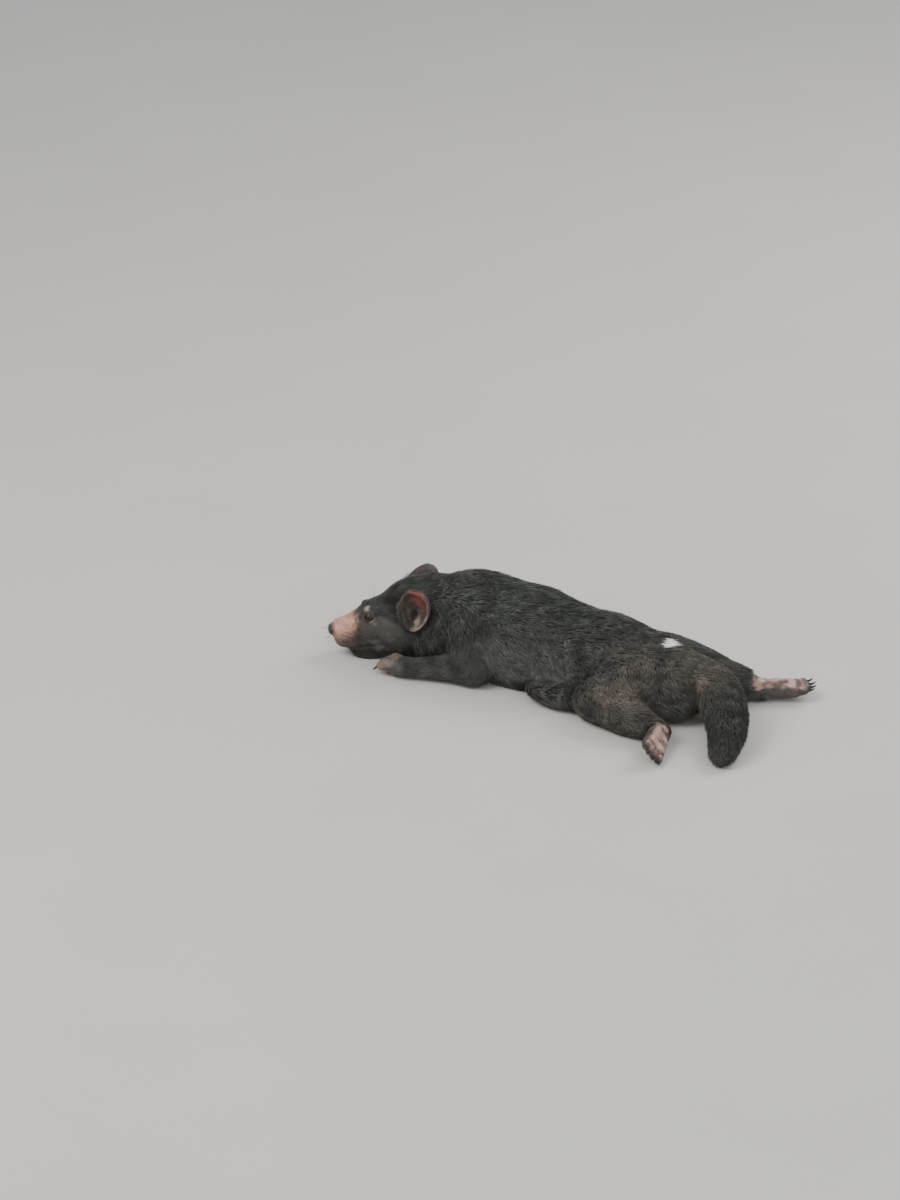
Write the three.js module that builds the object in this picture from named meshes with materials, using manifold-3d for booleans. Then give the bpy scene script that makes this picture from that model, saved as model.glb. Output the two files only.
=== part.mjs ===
// Tasmanian devil lying stretched out on its belly, chin on the floor and head turned to its left.
// The left hind leg is folded, the right one is stretched back with the sole up, and the tail curls left.
// Millimetres, +Z up, floor at Z = 0. The head points towards -X, the rump and tail towards +X,
// and the animal's left side faces -Y. The origin is the middle of the box's underside.
import * as THREE from "three";
import { mergeVertices } from "three/addons/utils/BufferGeometryUtils.js";
import Module from "manifold-3d";

const wasm = await Module();
wasm.setup();

// Driving sizes
const GAP = 0.32; // between two pieces that touch
const BACK_HEIGHT = 154; // over the shoulders, coat included
const TRUNK_WIDTH = 188;
const HEAD_TURN = 33; // degrees to its left
const HEAD_PITCH = 16; // degrees nose down
const NOSE_REACH = 142; // from the middle between the ears to the tip of the nose
const EAR = { above: 36, below: 33, width: 46, wall: 2.4, standOff: 7, rearRim: 19, frontRim: 3, rows: 4, sectors: 16 };
const EYE = { radius: 8.2, sink: 6.6, slit: [7.2, 4.8] };
const LID_THICKNESS = 1.7;
const MOUTH = { front: 104, corner: 58, frontDrop: 31, cornerDrop: 38, groove: 1.5 };
const CLAWS = { fore: { length: 10, droop: 0.3 }, hind: { length: 10, droop: 0 }, radius: 2.6 };
const PAWS = {
  fore: { length: 45, width: 44, toes: 5, ball: 26, heel: 13.5, toe: [8.2, 7.6], curl: 5 },
  hind: { length: 82, width: 42, toes: 4, ball: 56, heel: 14.5, toe: [8.4, 6.4], curl: 3 },
};

// Landmarks of the pose, in the frame of the layout
const SKULL = point(-276, 24, 82); // middle between the ears
const WITHERS = point(-165, 42, 58);
const RIBS = point(-78, 40, 54);
const LOIN = point(52, 37, 50);
const PELVIS = point(158, 34, 44);
const BUTTOCK = point(196, -12, 36);
const FLANK = point(28, -53, 20);
const THROAT = point(-218, 34, 34);
const LEFT = {
  shoulder: point(-150, -4, 68),
  elbow: point(-130, -45, 28),
  wrist: point(-241, -72, 18),
  hip: point(154, -14, 52),
  knee: point(95, -70, 33),
  heel: point(220, -102, 21),
};
const RIGHT = {
  shoulder: point(-150, 90, 68),
  elbow: point(-124, 128, 28),
  wrist: point(-222, 140, 19),
  hip: point(152, 72, 50),
  knee: point(204, 106, 28),
  heel: point(293, 114, 17),
};
const TAIL = [
  point(200, 28, 62),
  point(254, 20, 54),
  point(292, -18, 39),
  point(321, -70, 29),
  point(337, -126, 18),
];
const TAIL_RADII = { coat: [32, 37, 37, 30, 18], core: [32, 34, 31, 24, 11] };
const BRUSH = { from: 0.36, tiers: 4, around: 8, length: 62, width: 29, thick: 5, sunk: 5, seed: 7 };

// Small vector helpers
function point(x, y, z) {
  return new THREE.Vector3(x, y, z);
}

function along(from, direction, distance) {
  return from.clone().addScaledVector(direction, distance);
}

function mix(a, b, t) {
  return a.clone().lerp(b, t);
}

// A frame with its origin and three axes: ahead, left and top
function makeFrame(origin, forward, up) {
  const ahead = forward.clone().normalize();
  const left = up.clone().cross(ahead).normalize();
  const top = ahead.clone().cross(left);
  const at = (f, l, u) => along(along(along(origin, ahead, f), left, l), top, u);
  const direction = (f, l, u) => at(f, l, u).sub(origin).normalize();
  return { origin, ahead, left, top, at, direction };
}

const UP = point(0, 0, 1);
const WORLD = makeFrame(point(0, 0, 0), point(1, 0, 0), UP);

function headFrame() {
  const turn = THREE.MathUtils.degToRad(HEAD_TURN);
  const pitch = THREE.MathUtils.degToRad(HEAD_PITCH);
  const ahead = point(-Math.cos(pitch) * Math.cos(turn), -Math.cos(pitch) * Math.sin(turn), -Math.sin(pitch));
  return makeFrame(SKULL, ahead, UP);
}

const HEAD = headFrame();

function frameOn(curve, distance) {
  const share = distance / curve.getLength();
  return makeFrame(curve.getPointAt(share), curve.getTangentAt(share), UP);
}

// Shapes as distance fields: below zero inside, in millimetres
function ellipsoid(centre, radii, frame = WORLD) {
  const { ahead, left, top } = frame;
  const [ra, rl, rt] = radii;
  return (p) => {
    const x = p.x - centre.x;
    const y = p.y - centre.y;
    const z = p.z - centre.z;
    const a = x * ahead.x + y * ahead.y + z * ahead.z;
    const l = x * left.x + y * left.y + z * left.z;
    const t = x * top.x + y * top.y + z * top.z;
    const near = Math.hypot(a / ra, l / rl, t / rt);
    const slope = Math.hypot(a / (ra * ra), l / (rl * rl), t / (rt * rt));
    return slope < 1e-9 ? -Math.min(ra, rl, rt) : (near * (near - 1)) / slope;
  };
}

// A bar with round ends whose radius runs from ra to rb
function bar(a, b, ra, rb) {
  const axis = b.clone().sub(a);
  const span = axis.dot(axis);
  const fall = ra - rb;
  const flat = span - fall * fall;
  return (p) => {
    const x = p.x - a.x;
    const y = p.y - a.y;
    const z = p.z - a.z;
    const s = x * axis.x + y * axis.y + z * axis.z;
    const off = s - span;
    const wide = (x * span - axis.x * s) ** 2 + (y * span - axis.y * s) ** 2 + (z * span - axis.z * s) ** 2;
    const k = Math.sign(fall) * fall * fall * wide;
    if (Math.sign(off) * flat * off * off * span > k) return Math.sqrt(wide + off * off * span) / span - rb;
    if (Math.sign(s) * flat * s * s * span < k) return Math.sqrt(wide + s * s * span) / span - ra;
    return (Math.sqrt((wide * flat) / span) + s * fall) / span - ra;
  };
}

// One smooth body from several shapes
function blend(softness, shapes) {
  return (p) => {
    let distance = shapes[0](p);
    for (let i = 1; i < shapes.length; i++) {
      const next = shapes[i](p);
      const near = Math.max(softness - Math.abs(distance - next), 0) / softness;
      distance = Math.min(distance, next) - near * near * softness * 0.25;
    }
    return distance;
  };
}

// The same swelling or bar on both sides of the head
function cheeks(f, l, u, radii) {
  return [1, -1].map((side) => ellipsoid(HEAD.at(f, l * side, u), radii, HEAD));
}

function lips(front, back, ra, rb) {
  const on = (side, [f, l, u]) => HEAD.at(f, l * side, u);
  return [1, -1].map((side) => bar(on(side, front), on(side, back), ra, rb));
}

// Body masses
const HALF = TRUNK_WIDTH / 2;
const trunkShapes = [
  ellipsoid(WITHERS, [80, 80, BACK_HEIGHT - 2 - WITHERS.z]),
  ellipsoid(RIBS, [125, HALF - 1, BACK_HEIGHT - 8 - RIBS.z]),
  ellipsoid(LOIN, [118, HALF - 6, 76]),
  ellipsoid(PELVIS, [86, HALF - 14, 53]),
  ellipsoid(BUTTOCK, [46, 44, 40]),
  bar(point(-190, 42, 66), HEAD.at(-34, 0, -16), 66, 55),
  ellipsoid(THROAT, [58, 70, 50]),
  ellipsoid(FLANK, [64, 30, 20]),
  ...[LEFT, RIGHT].map(({ shoulder }) => ellipsoid(mix(shoulder, RIBS, 0.12), [56, 44, 52])),
];
const headShapes = [
  ellipsoid(HEAD.at(-4, 0, -1), [60, 52, 46], HEAD),
  ellipsoid(HEAD.at(42, 0, 1), [52, 36, 27], HEAD),
  ...cheeks(22, 28, -22, [46, 28, 36]),
  bar(HEAD.at(58, 0, -7), HEAD.at(115, 0, -9), 31, 22),
  ...cheeks(107, 11, -20, [27, 15, 16]),
  bar(HEAD.at(24, 0, -50), HEAD.at(101, 0, -41), 36, 18),
  ...cheeks(74, 14, -55, [44, 17, 16]),
  ...lips([108, 10, -33], [66, 25, -44], 6, 7),
  ellipsoid(HEAD.at(-16, 6, -50), [60, 56, 42], HEAD),
];
const bodyField = blend(14, [blend(34, trunkShapes), blend(12, headShapes)]);

// Solids: closed meshes that manifold-3d joins and cuts
function solidFrom(geometry) {
  const bare = geometry.clone();
  bare.deleteAttribute("normal");
  bare.deleteAttribute("uv");
  const merged = mergeVertices(bare, 1e-4);
  const vertProperties = merged.attributes.position.array;
  const make = (triVerts) => new wasm.Manifold(new wasm.Mesh({ numProp: 3, vertProperties, triVerts }));
  const triangles = new Uint32Array(merged.index.array);
  const solid = make(triangles);
  if (solid.volume() > 0) return solid;
  for (let i = 0; i < triangles.length; i += 3) {
    [triangles[i + 1], triangles[i + 2]] = [triangles[i + 2], triangles[i + 1]];
  }
  return make(triangles);
}

function joined(solids) {
  return solids.reduce((sum, solid) => sum.add(solid));
}

function largestBody(solid) {
  return solid.decompose().reduce((best, body) => (body.volume() > best.volume() ? body : best));
}

// Rings of points, closed by one point at each end
function ringSolid(rows, start, end) {
  const points = rows.flat();
  const sectors = rows[0].length;
  const first = points.length;
  const last = (rows.length - 1) * sectors;
  const triangles = [];
  points.push(start, end);
  for (let j = 0; j < sectors; j++) {
    const k = (j + 1) % sectors;
    triangles.push(first, k, j, first + 1, last + j, last + k);
    for (let a = 0; a < last; a += sectors) {
      const b = a + sectors;
      triangles.push(a + j, a + k, b + k, a + j, b + k, b + j);
    }
  }
  return solidFrom(new THREE.BufferGeometry().setFromPoints(points).setIndex(triangles));
}

// Where a ray from inside a shape meets its surface
function reach(field, origin, direction, level) {
  const step = 1.5;
  const farthest = 260;
  const probe = point(0, 0, 0);
  const valueAt = (r) => field(probe.copy(origin).addScaledVector(direction, r));
  let outer = step;
  while (valueAt(outer) < level && outer < farthest) outer += step;
  let inner = outer - step;
  for (let i = 0; i < 24; i++) {
    const middle = (inner + outer) / 2;
    if (valueAt(middle) < level) inner = middle;
    else outer = middle;
  }
  return along(origin, direction, (inner + outer) / 2);
}

// A length of a shape round a curve, from one distance along it to another. A round end follows the shape to
// its tip, and a flat one is a thin cut across the curve. grown is the same length made larger by the gap.
function tube(field, curve, span, ringCount, sectors, { roundStart, roundEnd, tilts = [22, 44, 64, 80] }) {
  const [from, to] = span;
  const build = (grow) => {
    const rings = [];
    const put = (distance, tilt, shift) => {
      const frame = frameOn(curve, distance);
      frame.origin = along(frame.origin, frame.ahead, shift);
      rings.push({ frame, tilt: THREE.MathUtils.degToRad(tilt) });
    };
    const inset = GAP / 2 - grow;
    for (const tilt of roundStart ? [...tilts].reverse() : []) put(from, -tilt, 0);
    for (let i = 0; i <= ringCount; i++) {
      const shift = (i === 0 && !roundStart ? inset : 0) - (i === ringCount && !roundEnd ? inset : 0);
      put(from + ((to - from) * i) / ringCount, 0, shift);
    }
    for (const tilt of roundEnd ? tilts : []) put(to, tilt, 0);
    const rows = rings.map(({ frame, tilt }) =>
      Array.from({ length: sectors }, (_, j) => {
        const angle = (2 * Math.PI * (j + 0.5)) / sectors;
        const across = Math.cos(tilt);
        const ray = frame.direction(Math.sin(tilt), across * Math.cos(angle), across * Math.sin(angle));
        return reach(field, frame.origin, ray, grow);
      }),
    );
    const first = rings[0].frame;
    const last = rings[rings.length - 1].frame;
    const start = roundStart ? reach(field, first.origin, first.ahead.clone().negate(), grow) : first.origin;
    const end = roundEnd ? reach(field, last.origin, last.ahead, grow) : last.origin;
    return ringSolid(rows, start, end);
  };
  return { solid: build(0), grown: build(GAP) };
}

// Pieces, laid in the order in which they are cut clear of each other
const FINISHES = {
  coat: { color: 0x2a2826, roughness: 0.85 },
  brownCoat: { color: 0x35291f, roughness: 0.85 },
  bareSkin: { color: 0xb08c84, roughness: 0.6 },
  earSkin: { color: 0x7a4744, roughness: 0.65 },
  nose: { color: 0x2b2424, roughness: 0.4 },
  eye: { color: 0x14100e, roughness: 0.08 },
  claw: { color: 0x4a3f36, roughness: 0.45 },
};
const BELOW_FLOOR = solidFrom(new THREE.BoxGeometry(2000, 2000, 400).translate(0, 0, -200));
const TRUNK = ["head", "neck", "chest", "abdomen", "rump"];
const pieces = {};

function place(name, finish, shape, clearOf = []) {
  const above = shape.solid.subtract(BELOW_FLOOR);
  const clear = clearOf.reduce((solid, other) => solid.subtract(pieces[other].grown), above);
  pieces[name] = { finish, grown: shape.grown, solid: largestBody(clear) };
}

// Trunk, neck and head: one skin parted by thin cuts across the spine
function layTrunk() {
  const spine = new THREE.CatmullRomCurve3([
    HEAD.at(108, 0, -12),
    HEAD.at(60, 0, -12),
    HEAD.at(14, 0, -8),
    point(-226, 46, 82),
    point(-165, 49, 76),
    point(-95, 44, 66),
    point(0, 39, 60),
    point(100, 37, 54),
    point(180, 32, 46),
  ]);
  const cuts = { head: 152, neck: 205, chest: 345, abdomen: 440, rump: spine.getLength() };
  const rings = { head: [25, 28], neck: [5, 26], chest: [9, 26], abdomen: [6, 26], rump: [7, 26] };
  let from = 0;
  for (const name of TRUNK) {
    const ends = { roundStart: name === "head", roundEnd: name === "rump" };
    const finish = name === "rump" ? "brownCoat" : "coat";
    place(name, finish, tube(bodyField, spine, [from, cuts[name]], ...rings[name], ends));
    from = cuts[name];
  }
}

// Legs: tapering segments with round ends, the lower one cut clear of the upper one
const ROUND = { roundStart: true, roundEnd: true };

function segment(a, b, ra, rb, flesh, sizes) {
  const curve = new THREE.LineCurve3(a, b);
  return tube(blend(18, [bar(a, b, ra, rb), ...flesh]), curve, [0, curve.getLength()], ...sizes, ROUND);
}

function layHindLeg(side, { hip, knee, heel }) {
  const thighFrame = makeFrame(hip, knee.clone().sub(hip), UP);
  const thighFlesh = ellipsoid(mix(hip, knee, 0.5), [60, 50, 42], thighFrame);
  const calf = ellipsoid(mix(knee, heel, 0.42), [56, 32, 31], makeFrame(knee, heel.clone().sub(knee), UP));
  const thigh = `thigh_${side}`;
  place(thigh, "brownCoat", segment(hip, knee, 42, 32, [thighFlesh], [5, 16]), TRUNK);
  place(`shank_${side}`, "brownCoat", segment(knee, heel, 25, 19, [calf], [6, 14]), [...TRUNK, thigh]);
}

function layForeLeg(side, { shoulder, elbow, wrist }) {
  const upper = `upper_arm_${side}`;
  place(upper, "coat", segment(shoulder, elbow, 38, 27, [], [4, 16]), TRUNK);
  place(`forearm_${side}`, "coat", segment(elbow, wrist, 23, 16, [], [6, 14]), [...TRUNK, upper]);
}

// Paws: local frame with the toes ahead and the back of the paw on top
function capsule(a, b, ra, rb, sizes) {
  const curve = new THREE.LineCurve3(a, b);
  return tube(bar(a, b, ra, rb), curve, [0, curve.getLength()], ...sizes, { ...ROUND, tilts: [45] });
}

function pawShapes({ length, width, toes, ball, heel, toe, curl }, frame) {
  const parts = [-1, 1].map((edge) => {
    const near = frame.at(0, edge * width * 0.08, 0);
    const far = frame.at(ball, edge * (width / 2 - heel * 0.8), -1);
    return capsule(near, far, heel, heel * 0.82, [1, 12]);
  });
  const clawRoots = [];
  for (let i = 0; i < toes; i++) {
    const across = (2 * i) / (toes - 1) - 1;
    const setBack = 0.14 * (length - ball) * across * across;
    const root = frame.at(ball - 2, across * (width / 2 - toe[0]), -1);
    const tip = frame.at(length - toe[1] - setBack, across * (width / 2 - toe[1] + 1), -curl);
    parts.push(capsule(root, tip, ...toe, [1, 8]));
    clawRoots.push({ root: tip, ahead: tip.clone().sub(root).normalize() });
  }
  const solid = joined(parts.map((part) => part.solid));
  const grown = joined(parts.map((part) => part.grown));
  return { shape: { solid, grown }, clawRoots };
}

// A claw: a cone that bends towards the sole
function clawShape(root, ahead, down, length) {
  const knuckle = along(root, ahead, length * 0.8);
  const tip = along(along(root, ahead, length), down, length * 0.3);
  const curve = new THREE.QuadraticBezierCurve3(root, knuckle, tip);
  const rows = [0, 0.65].map((t) => {
    const frame = makeFrame(curve.getPointAt(t), curve.getTangentAt(t), down.clone().negate());
    const radius = CLAWS.radius * (1 - t * 0.55);
    return [0, 1, 2, 3, 4].map((k) => {
      const angle = (2 * Math.PI * k) / 5;
      return frame.at(0, radius * 0.85 * Math.cos(angle), radius * 1.15 * Math.sin(angle));
    });
  });
  return { solid: ringSolid(rows, root, tip) };
}

function layPaw(kind, side, name, frame, clearOf) {
  const { shape, clawRoots } = pawShapes(PAWS[kind], frame);
  place(name, "bareSkin", shape, clearOf);
  const toeTip = PAWS[kind].toe[1];
  const down = frame.top.clone().negate();
  const { length, droop } = CLAWS[kind];
  clawRoots.forEach(({ root, ahead }, i) => {
    const claw = clawShape(root, along(ahead, down, droop).normalize(), down, length + toeTip);
    place(`claw_${kind}_${side}_${i + 1}`, "claw", claw, [name]);
  });
}

function layPaws() {
  const leftFore = makeFrame(LEFT.wrist, point(-0.96, 0.2, 0.11), UP);
  const rightFore = makeFrame(RIGHT.wrist, point(-1, -0.05, 0.02), UP);
  const leftHind = makeFrame(LEFT.heel, point(0.24, -0.95, -0.04), point(-0.75, -0.1, -0.6));
  const rightHind = makeFrame(RIGHT.heel, point(0.88, 0.47, 0.01), point(0, 0, -1));
  layPaw("fore", "left", "forepaw_left", leftFore, [...TRUNK, "forearm_left"]);
  layPaw("fore", "right", "forepaw_right", rightFore, [...TRUNK, "forearm_right"]);
  layPaw("hind", "left", "hind_foot_left", leftHind, ["shank_left"]);
  layPaw("hind", "right", "hind_foot_right", rightHind, ["shank_right"]);
}

// Tail: a tapering base, then a brush of flat overlapping locks over a core half way to their tips
function random(seed) {
  let state = seed;
  return () => {
    state = (state * 16807) % 2147483647;
    return state / 2147483647;
  };
}

function lock(root, rise, tip, outward, width, thick) {
  const curve = new THREE.QuadraticBezierCurve3(root, rise, tip);
  const rows = [[0, 0.8], [0.4, 1], [0.75, 0.62]].map(([t, share]) => {
    const frame = makeFrame(curve.getPointAt(t), curve.getTangentAt(t), outward);
    return [0, 1, 2, 3].map((k) => {
      const angle = (Math.PI * k) / 2;
      return frame.at(0, 0.5 * width * share * Math.cos(angle), 0.5 * thick * share * Math.sin(angle));
    });
  });
  return ringSolid(rows, root, tip);
}

function tailLocks(coat, core, curve) {
  const { from, tiers, around, length, width, thick, sunk, seed } = BRUSH;
  const draw = random(seed);
  const total = curve.getLength();
  const locks = [];
  for (let tier = 0; tier < tiers; tier++) {
    const start = THREE.MathUtils.lerp(total * from + 10, total - 16, tier / (tiers - 1));
    const count = tier === tiers - 1 ? around - 3 : around;
    for (let i = 0; i < count; i++) {
      const angle = (2 * Math.PI * (i + 0.5 * (tier % 2) + 0.3 * (draw() - 0.5))) / count;
      const end = start + length * (0.85 + 0.3 * draw());
      const past = THREE.MathUtils.degToRad(Math.min((105 * Math.max(end - total, 0)) / length, 78));
      const [across, above] = [Math.cos(angle), Math.sin(angle)];
      const here = frameOn(curve, start);
      const there = frameOn(curve, Math.min(end, total));
      const outward = here.direction(0, across, above);
      const towards = there.direction(Math.sin(past), Math.cos(past) * across, Math.cos(past) * above);
      const surface = reach(core, here.origin, outward, 0);
      const root = along(surface, outward, -sunk);
      const rise = along(along(surface, outward, sunk), here.ahead, length * 0.35);
      const tip = reach(coat, there.origin, towards, 0);
      locks.push(lock(root, rise, tip, outward, width * (0.85 + 0.3 * draw()), thick));
    }
  }
  return locks;
}

function tailField(radii) {
  return blend(16, TAIL.slice(1).map((end, i) => bar(TAIL[i], end, radii[i], radii[i + 1])));
}

function layTail() {
  const curve = new THREE.CatmullRomCurve3(TAIL);
  const core = tailField(TAIL_RADII.core);
  const cut = curve.getLength() * BRUSH.from;
  const hindParts = ["thigh_left", "thigh_right", "shank_left", "shank_right"];
  const base = tube(core, curve, [0, cut], 6, 18, { roundStart: true });
  const brush = tube(core, curve, [cut, curve.getLength()], 8, 16, { roundEnd: true });
  brush.solid = joined([brush.solid, ...tailLocks(tailField(TAIL_RADII.coat), core, curve)]);
  place("tail_base", "coat", base, [...TRUNK, ...hindParts]);
  place("tail_brush", "coat", brush, hindParts);
}

// Ears: an open cup whose rim is an egg outline, standing out most at the back
function earShape(side, frame) {
  const { above, below, width, wall, rearRim, frontRim, rows, sectors } = EAR;
  const foot = wall + 6;
  const surface = (depth, widen) =>
    Array.from({ length: rows }, (_, i) => {
      const v = (i + 1) / rows;
      const spread = (0.3 + 0.7 * Math.sin((v * Math.PI) / 2)) * (1 + (2 * widen * v) / width);
      return Array.from({ length: sectors }, (_, j) => {
        const angle = (2 * Math.PI * j) / sectors;
        const up = Math.cos(angle);
        const rear = Math.sin(angle);
        const rim = THREE.MathUtils.lerp(frontRim, rearRim, 0.5 + 0.32 * rear + 0.32 * up);
        const across = 0.5 * width * (1 + 0.22 * up) * rear;
        const tall = (up > 0 ? above : below) * up;
        return frame.at(rim * v ** 1.6 - depth * (1 - 0.6 * v), across * spread * side, tall * spread);
      });
    });
  const rowsIn = surface(0, 0);
  const rowsOut = surface(foot, wall).reverse();
  return { solid: ringSolid([...rowsIn, ...rowsOut], frame.at(0, 0, 0), frame.at(-foot, 0, 0)) };
}

function layEars() {
  const left = {
    side: 1,
    root: HEAD.at(-6, 0, 8),
    out: HEAD.direction(0.35, 1, 0.15),
    up: HEAD.direction(-0.55, -0.25, 0.9),
  };
  const right = {
    side: -1,
    root: HEAD.at(-17, 0, -11),
    out: HEAD.direction(0, -1, 0.25),
    up: HEAD.direction(-0.85, 0, 0.7),
  };
  for (const [name, { side, root, out, up }] of Object.entries({ ear_left: left, ear_right: right })) {
    const skin = reach(bodyField, root, HEAD.direction(0, side, 0.12), 0);
    const frame = makeFrame(along(skin, out, EAR.standOff), out, up);
    place(name, "earSkin", earShape(side, frame), ["head", "neck"]);
  }
}

// Head details
function ball(centre, radii, frame = WORLD, [across, down] = [12, 8]) {
  const basis = new THREE.Matrix4().makeBasis(frame.ahead, frame.left, frame.top).setPosition(centre);
  return solidFrom(new THREE.SphereGeometry(1, across, down).scale(...radii).applyMatrix4(basis));
}

function layEyes() {
  for (const [name, side] of [["left", 1], ["right", -1]]) {
    const outward = HEAD.direction(0.22, side, 0.46);
    const centre = along(reach(bodyField, HEAD.at(66, 0, 0), outward, 0), outward, -EYE.sink);
    const size = (extra) => Array(3).fill(EYE.radius + extra);
    const lookOut = makeFrame(centre, outward, HEAD.direction(-0.5, 0, 1));
    const slit = ball(along(centre, outward, EYE.radius), [EYE.radius, ...EYE.slit], lookOut);
    const lids = ball(centre, size(LID_THICKNESS), lookOut);
    const socket = ball(centre, size(GAP), lookOut);
    place(`eye_${name}`, "eye", { solid: ball(centre, size(0), lookOut) });
    pieces.head.solid = largestBody(pieces.head.solid.add(lids).subtract(socket).subtract(slit));
  }
}

// The line of the mouth: a groove round the muzzle from corner to corner
function cutMouth() {
  const { front, corner, frontDrop, cornerDrop, groove } = MOUTH;
  const steps = 12;
  const path = Array.from({ length: 2 * steps + 1 }, (_, i) => {
    const s = Math.abs(i - steps) / steps;
    const side = Math.sign(i - steps);
    const turn = THREE.MathUtils.degToRad(Math.min(s * 2, 1) * 90);
    const back = THREE.MathUtils.lerp(front, corner, Math.max(2 * s - 1, 0));
    const drop = THREE.MathUtils.lerp(frontDrop, cornerDrop, s);
    const outward = HEAD.direction(Math.cos(turn), side * Math.sin(turn), 0);
    return reach(bodyField, HEAD.at(back, 0, -drop), outward, 0);
  });
  const line = new THREE.CatmullRomCurve3(path);
  const rings = 22;
  const rows = Array.from({ length: rings + 1 }, (_, i) => {
    const frame = makeFrame(line.getPointAt(i / rings), line.getTangentAt(i / rings), HEAD.top);
    return [0, 1, 2, 3].map((k) => {
      const angle = (Math.PI * k) / 2;
      return frame.at(0, 2 * groove * Math.cos(angle), 0.6 * groove * Math.sin(angle));
    });
  });
  const channel = ringSolid(rows, line.getPointAt(0), line.getPointAt(1));
  pieces.head.solid = largestBody(pieces.head.solid.subtract(channel));
}

function layNose() {
  const pad = HEAD.at(NOSE_REACH - 9, 0, -1);
  const nostril = (side) => ball(HEAD.at(NOSE_REACH - 1, side * 6, -1), [5, 2.6, 2], HEAD, [8, 5]);
  const solid = ball(pad, [9, 12, 10], HEAD, [14, 8]).subtract(nostril(1)).subtract(nostril(-1));
  place("nose", "nose", { solid }, ["head"]);
}

// Assembly, with the origin in the middle of the box's underside
function meshOf(name) {
  const { vertProperties, triVerts } = pieces[name].solid.getMesh();
  const geometry = new THREE.BufferGeometry();
  geometry.setAttribute("position", new THREE.BufferAttribute(new Float32Array(vertProperties), 3));
  geometry.setIndex(Array.from(triVerts));
  geometry.computeVertexNormals();
  const mesh = new THREE.Mesh(geometry, new THREE.MeshStandardMaterial(FINISHES[pieces[name].finish]));
  mesh.name = name;
  return mesh;
}

layTrunk();
layHindLeg("left", LEFT);
layHindLeg("right", RIGHT);
layForeLeg("left", LEFT);
layForeLeg("right", RIGHT);
layPaws();
layTail();
layEars();
layNose();
cutMouth();
layEyes();

const group = new THREE.Group();
for (const name of Object.keys(pieces)) group.add(meshOf(name));
const middle = new THREE.Box3().setFromObject(group).getCenter(point(0, 0, 0));
for (const mesh of group.children) mesh.position.set(-middle.x, -middle.y, 0);

export default group;
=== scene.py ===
# A life-size tasmanian devil at rest: one skin, a coat of overlapping tufts, wet eyes, claws and whiskers.
import functools
import itertools
import math

import bpy
import numpy as np
import openvdb
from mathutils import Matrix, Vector
from mathutils.kdtree import KDTree


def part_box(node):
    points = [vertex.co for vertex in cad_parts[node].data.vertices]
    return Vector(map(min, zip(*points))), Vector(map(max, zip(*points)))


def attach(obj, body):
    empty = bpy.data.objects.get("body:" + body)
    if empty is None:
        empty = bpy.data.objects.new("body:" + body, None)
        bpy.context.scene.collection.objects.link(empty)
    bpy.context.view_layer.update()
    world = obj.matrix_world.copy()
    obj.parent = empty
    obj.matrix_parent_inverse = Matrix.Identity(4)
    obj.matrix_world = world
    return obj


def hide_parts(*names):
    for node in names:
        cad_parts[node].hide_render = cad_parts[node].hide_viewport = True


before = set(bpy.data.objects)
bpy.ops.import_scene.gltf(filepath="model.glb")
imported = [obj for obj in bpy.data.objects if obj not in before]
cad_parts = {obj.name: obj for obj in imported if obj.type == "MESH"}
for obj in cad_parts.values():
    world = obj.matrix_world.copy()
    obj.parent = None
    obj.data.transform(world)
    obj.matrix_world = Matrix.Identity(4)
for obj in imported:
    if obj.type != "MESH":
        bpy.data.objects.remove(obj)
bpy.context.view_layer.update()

bl_info = {
    "name": "Tasmanian devil at rest",
    "version": (1, 0, 0),
    "blender": (4, 5, 0),
    "location": "View3D > Sidebar > Devil",
    "description": "Dresses the packed tasmanian devil with skin, coat, eyes, claws and whiskers",
    "category": "Object",
}

BODY = "root"
MM = 0.001

# The lattice of the distance fields and the rays through it, in millimetres
LATTICE = 1.2
NOSE_LATTICE = 0.45
FAR = 60.0
UNDER_FLOOR = -8
BODY_LOW = (-410, -208, UNDER_FLOOR)
BODY_HIGH = (396, 190, 172)
BOX_MARGIN = 10
FLESH_MARGIN = 8
SKIN_MARGIN = 4
RAY_REACH = 200
RAY_STEP = 0.25

# How far above the floor skin, hair, the roots of hair and claws stay, in millimetres
FLOOR_GAP = {"skin": 1.2, "hair": 0.35, "root": 0.3, "claw": 0.2}


# The pose, in millimetres of the layout that the solids were made in
def vec(x, y, z):
    return np.array((x, y, z), dtype=np.float64)


def unit(v):
    return v / np.linalg.norm(v)


UP = vec(0, 0, 1)
HEAD_TURN = math.radians(33)
HEAD_PITCH = math.radians(16)
NOSE_REACH = 142
TRUNK_HALF = 94
BACK_HEIGHT = 154
SKULL = vec(-276, 24, 82)
NAPE = vec(-190, 42, 66)
WITHERS = vec(-165, 42, 58)
RIBS = vec(-78, 40, 54)
LOIN = vec(52, 37, 50)
PELVIS = vec(158, 34, 44)
BUTTOCK = vec(196, -12, 36)
FLANK = vec(28, -53, 20)
THROAT = vec(-218, 34, 34)
LEFT = {
    "shoulder": vec(-150, -4, 68),
    "elbow": vec(-130, -45, 28),
    "wrist": vec(-241, -72, 18),
    "hip": vec(154, -14, 52),
    "knee": vec(95, -70, 33),
    "heel": vec(220, -102, 21),
}
RIGHT = {
    "shoulder": vec(-150, 90, 68),
    "elbow": vec(-124, 128, 28),
    "wrist": vec(-222, 140, 19),
    "hip": vec(152, 72, 50),
    "knee": vec(204, 106, 28),
    "heel": vec(293, 114, 17),
}
LIMBS = {"left": LEFT, "right": RIGHT}
TAIL = [vec(200, 28, 62), vec(254, 20, 54), vec(292, -18, 39), vec(321, -70, 29), vec(337, -126, 18)]
TAIL_COAT = [34, 39, 39, 32, 20]
TAIL_SKIN = [29, 29, 27, 20, 11]
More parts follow.
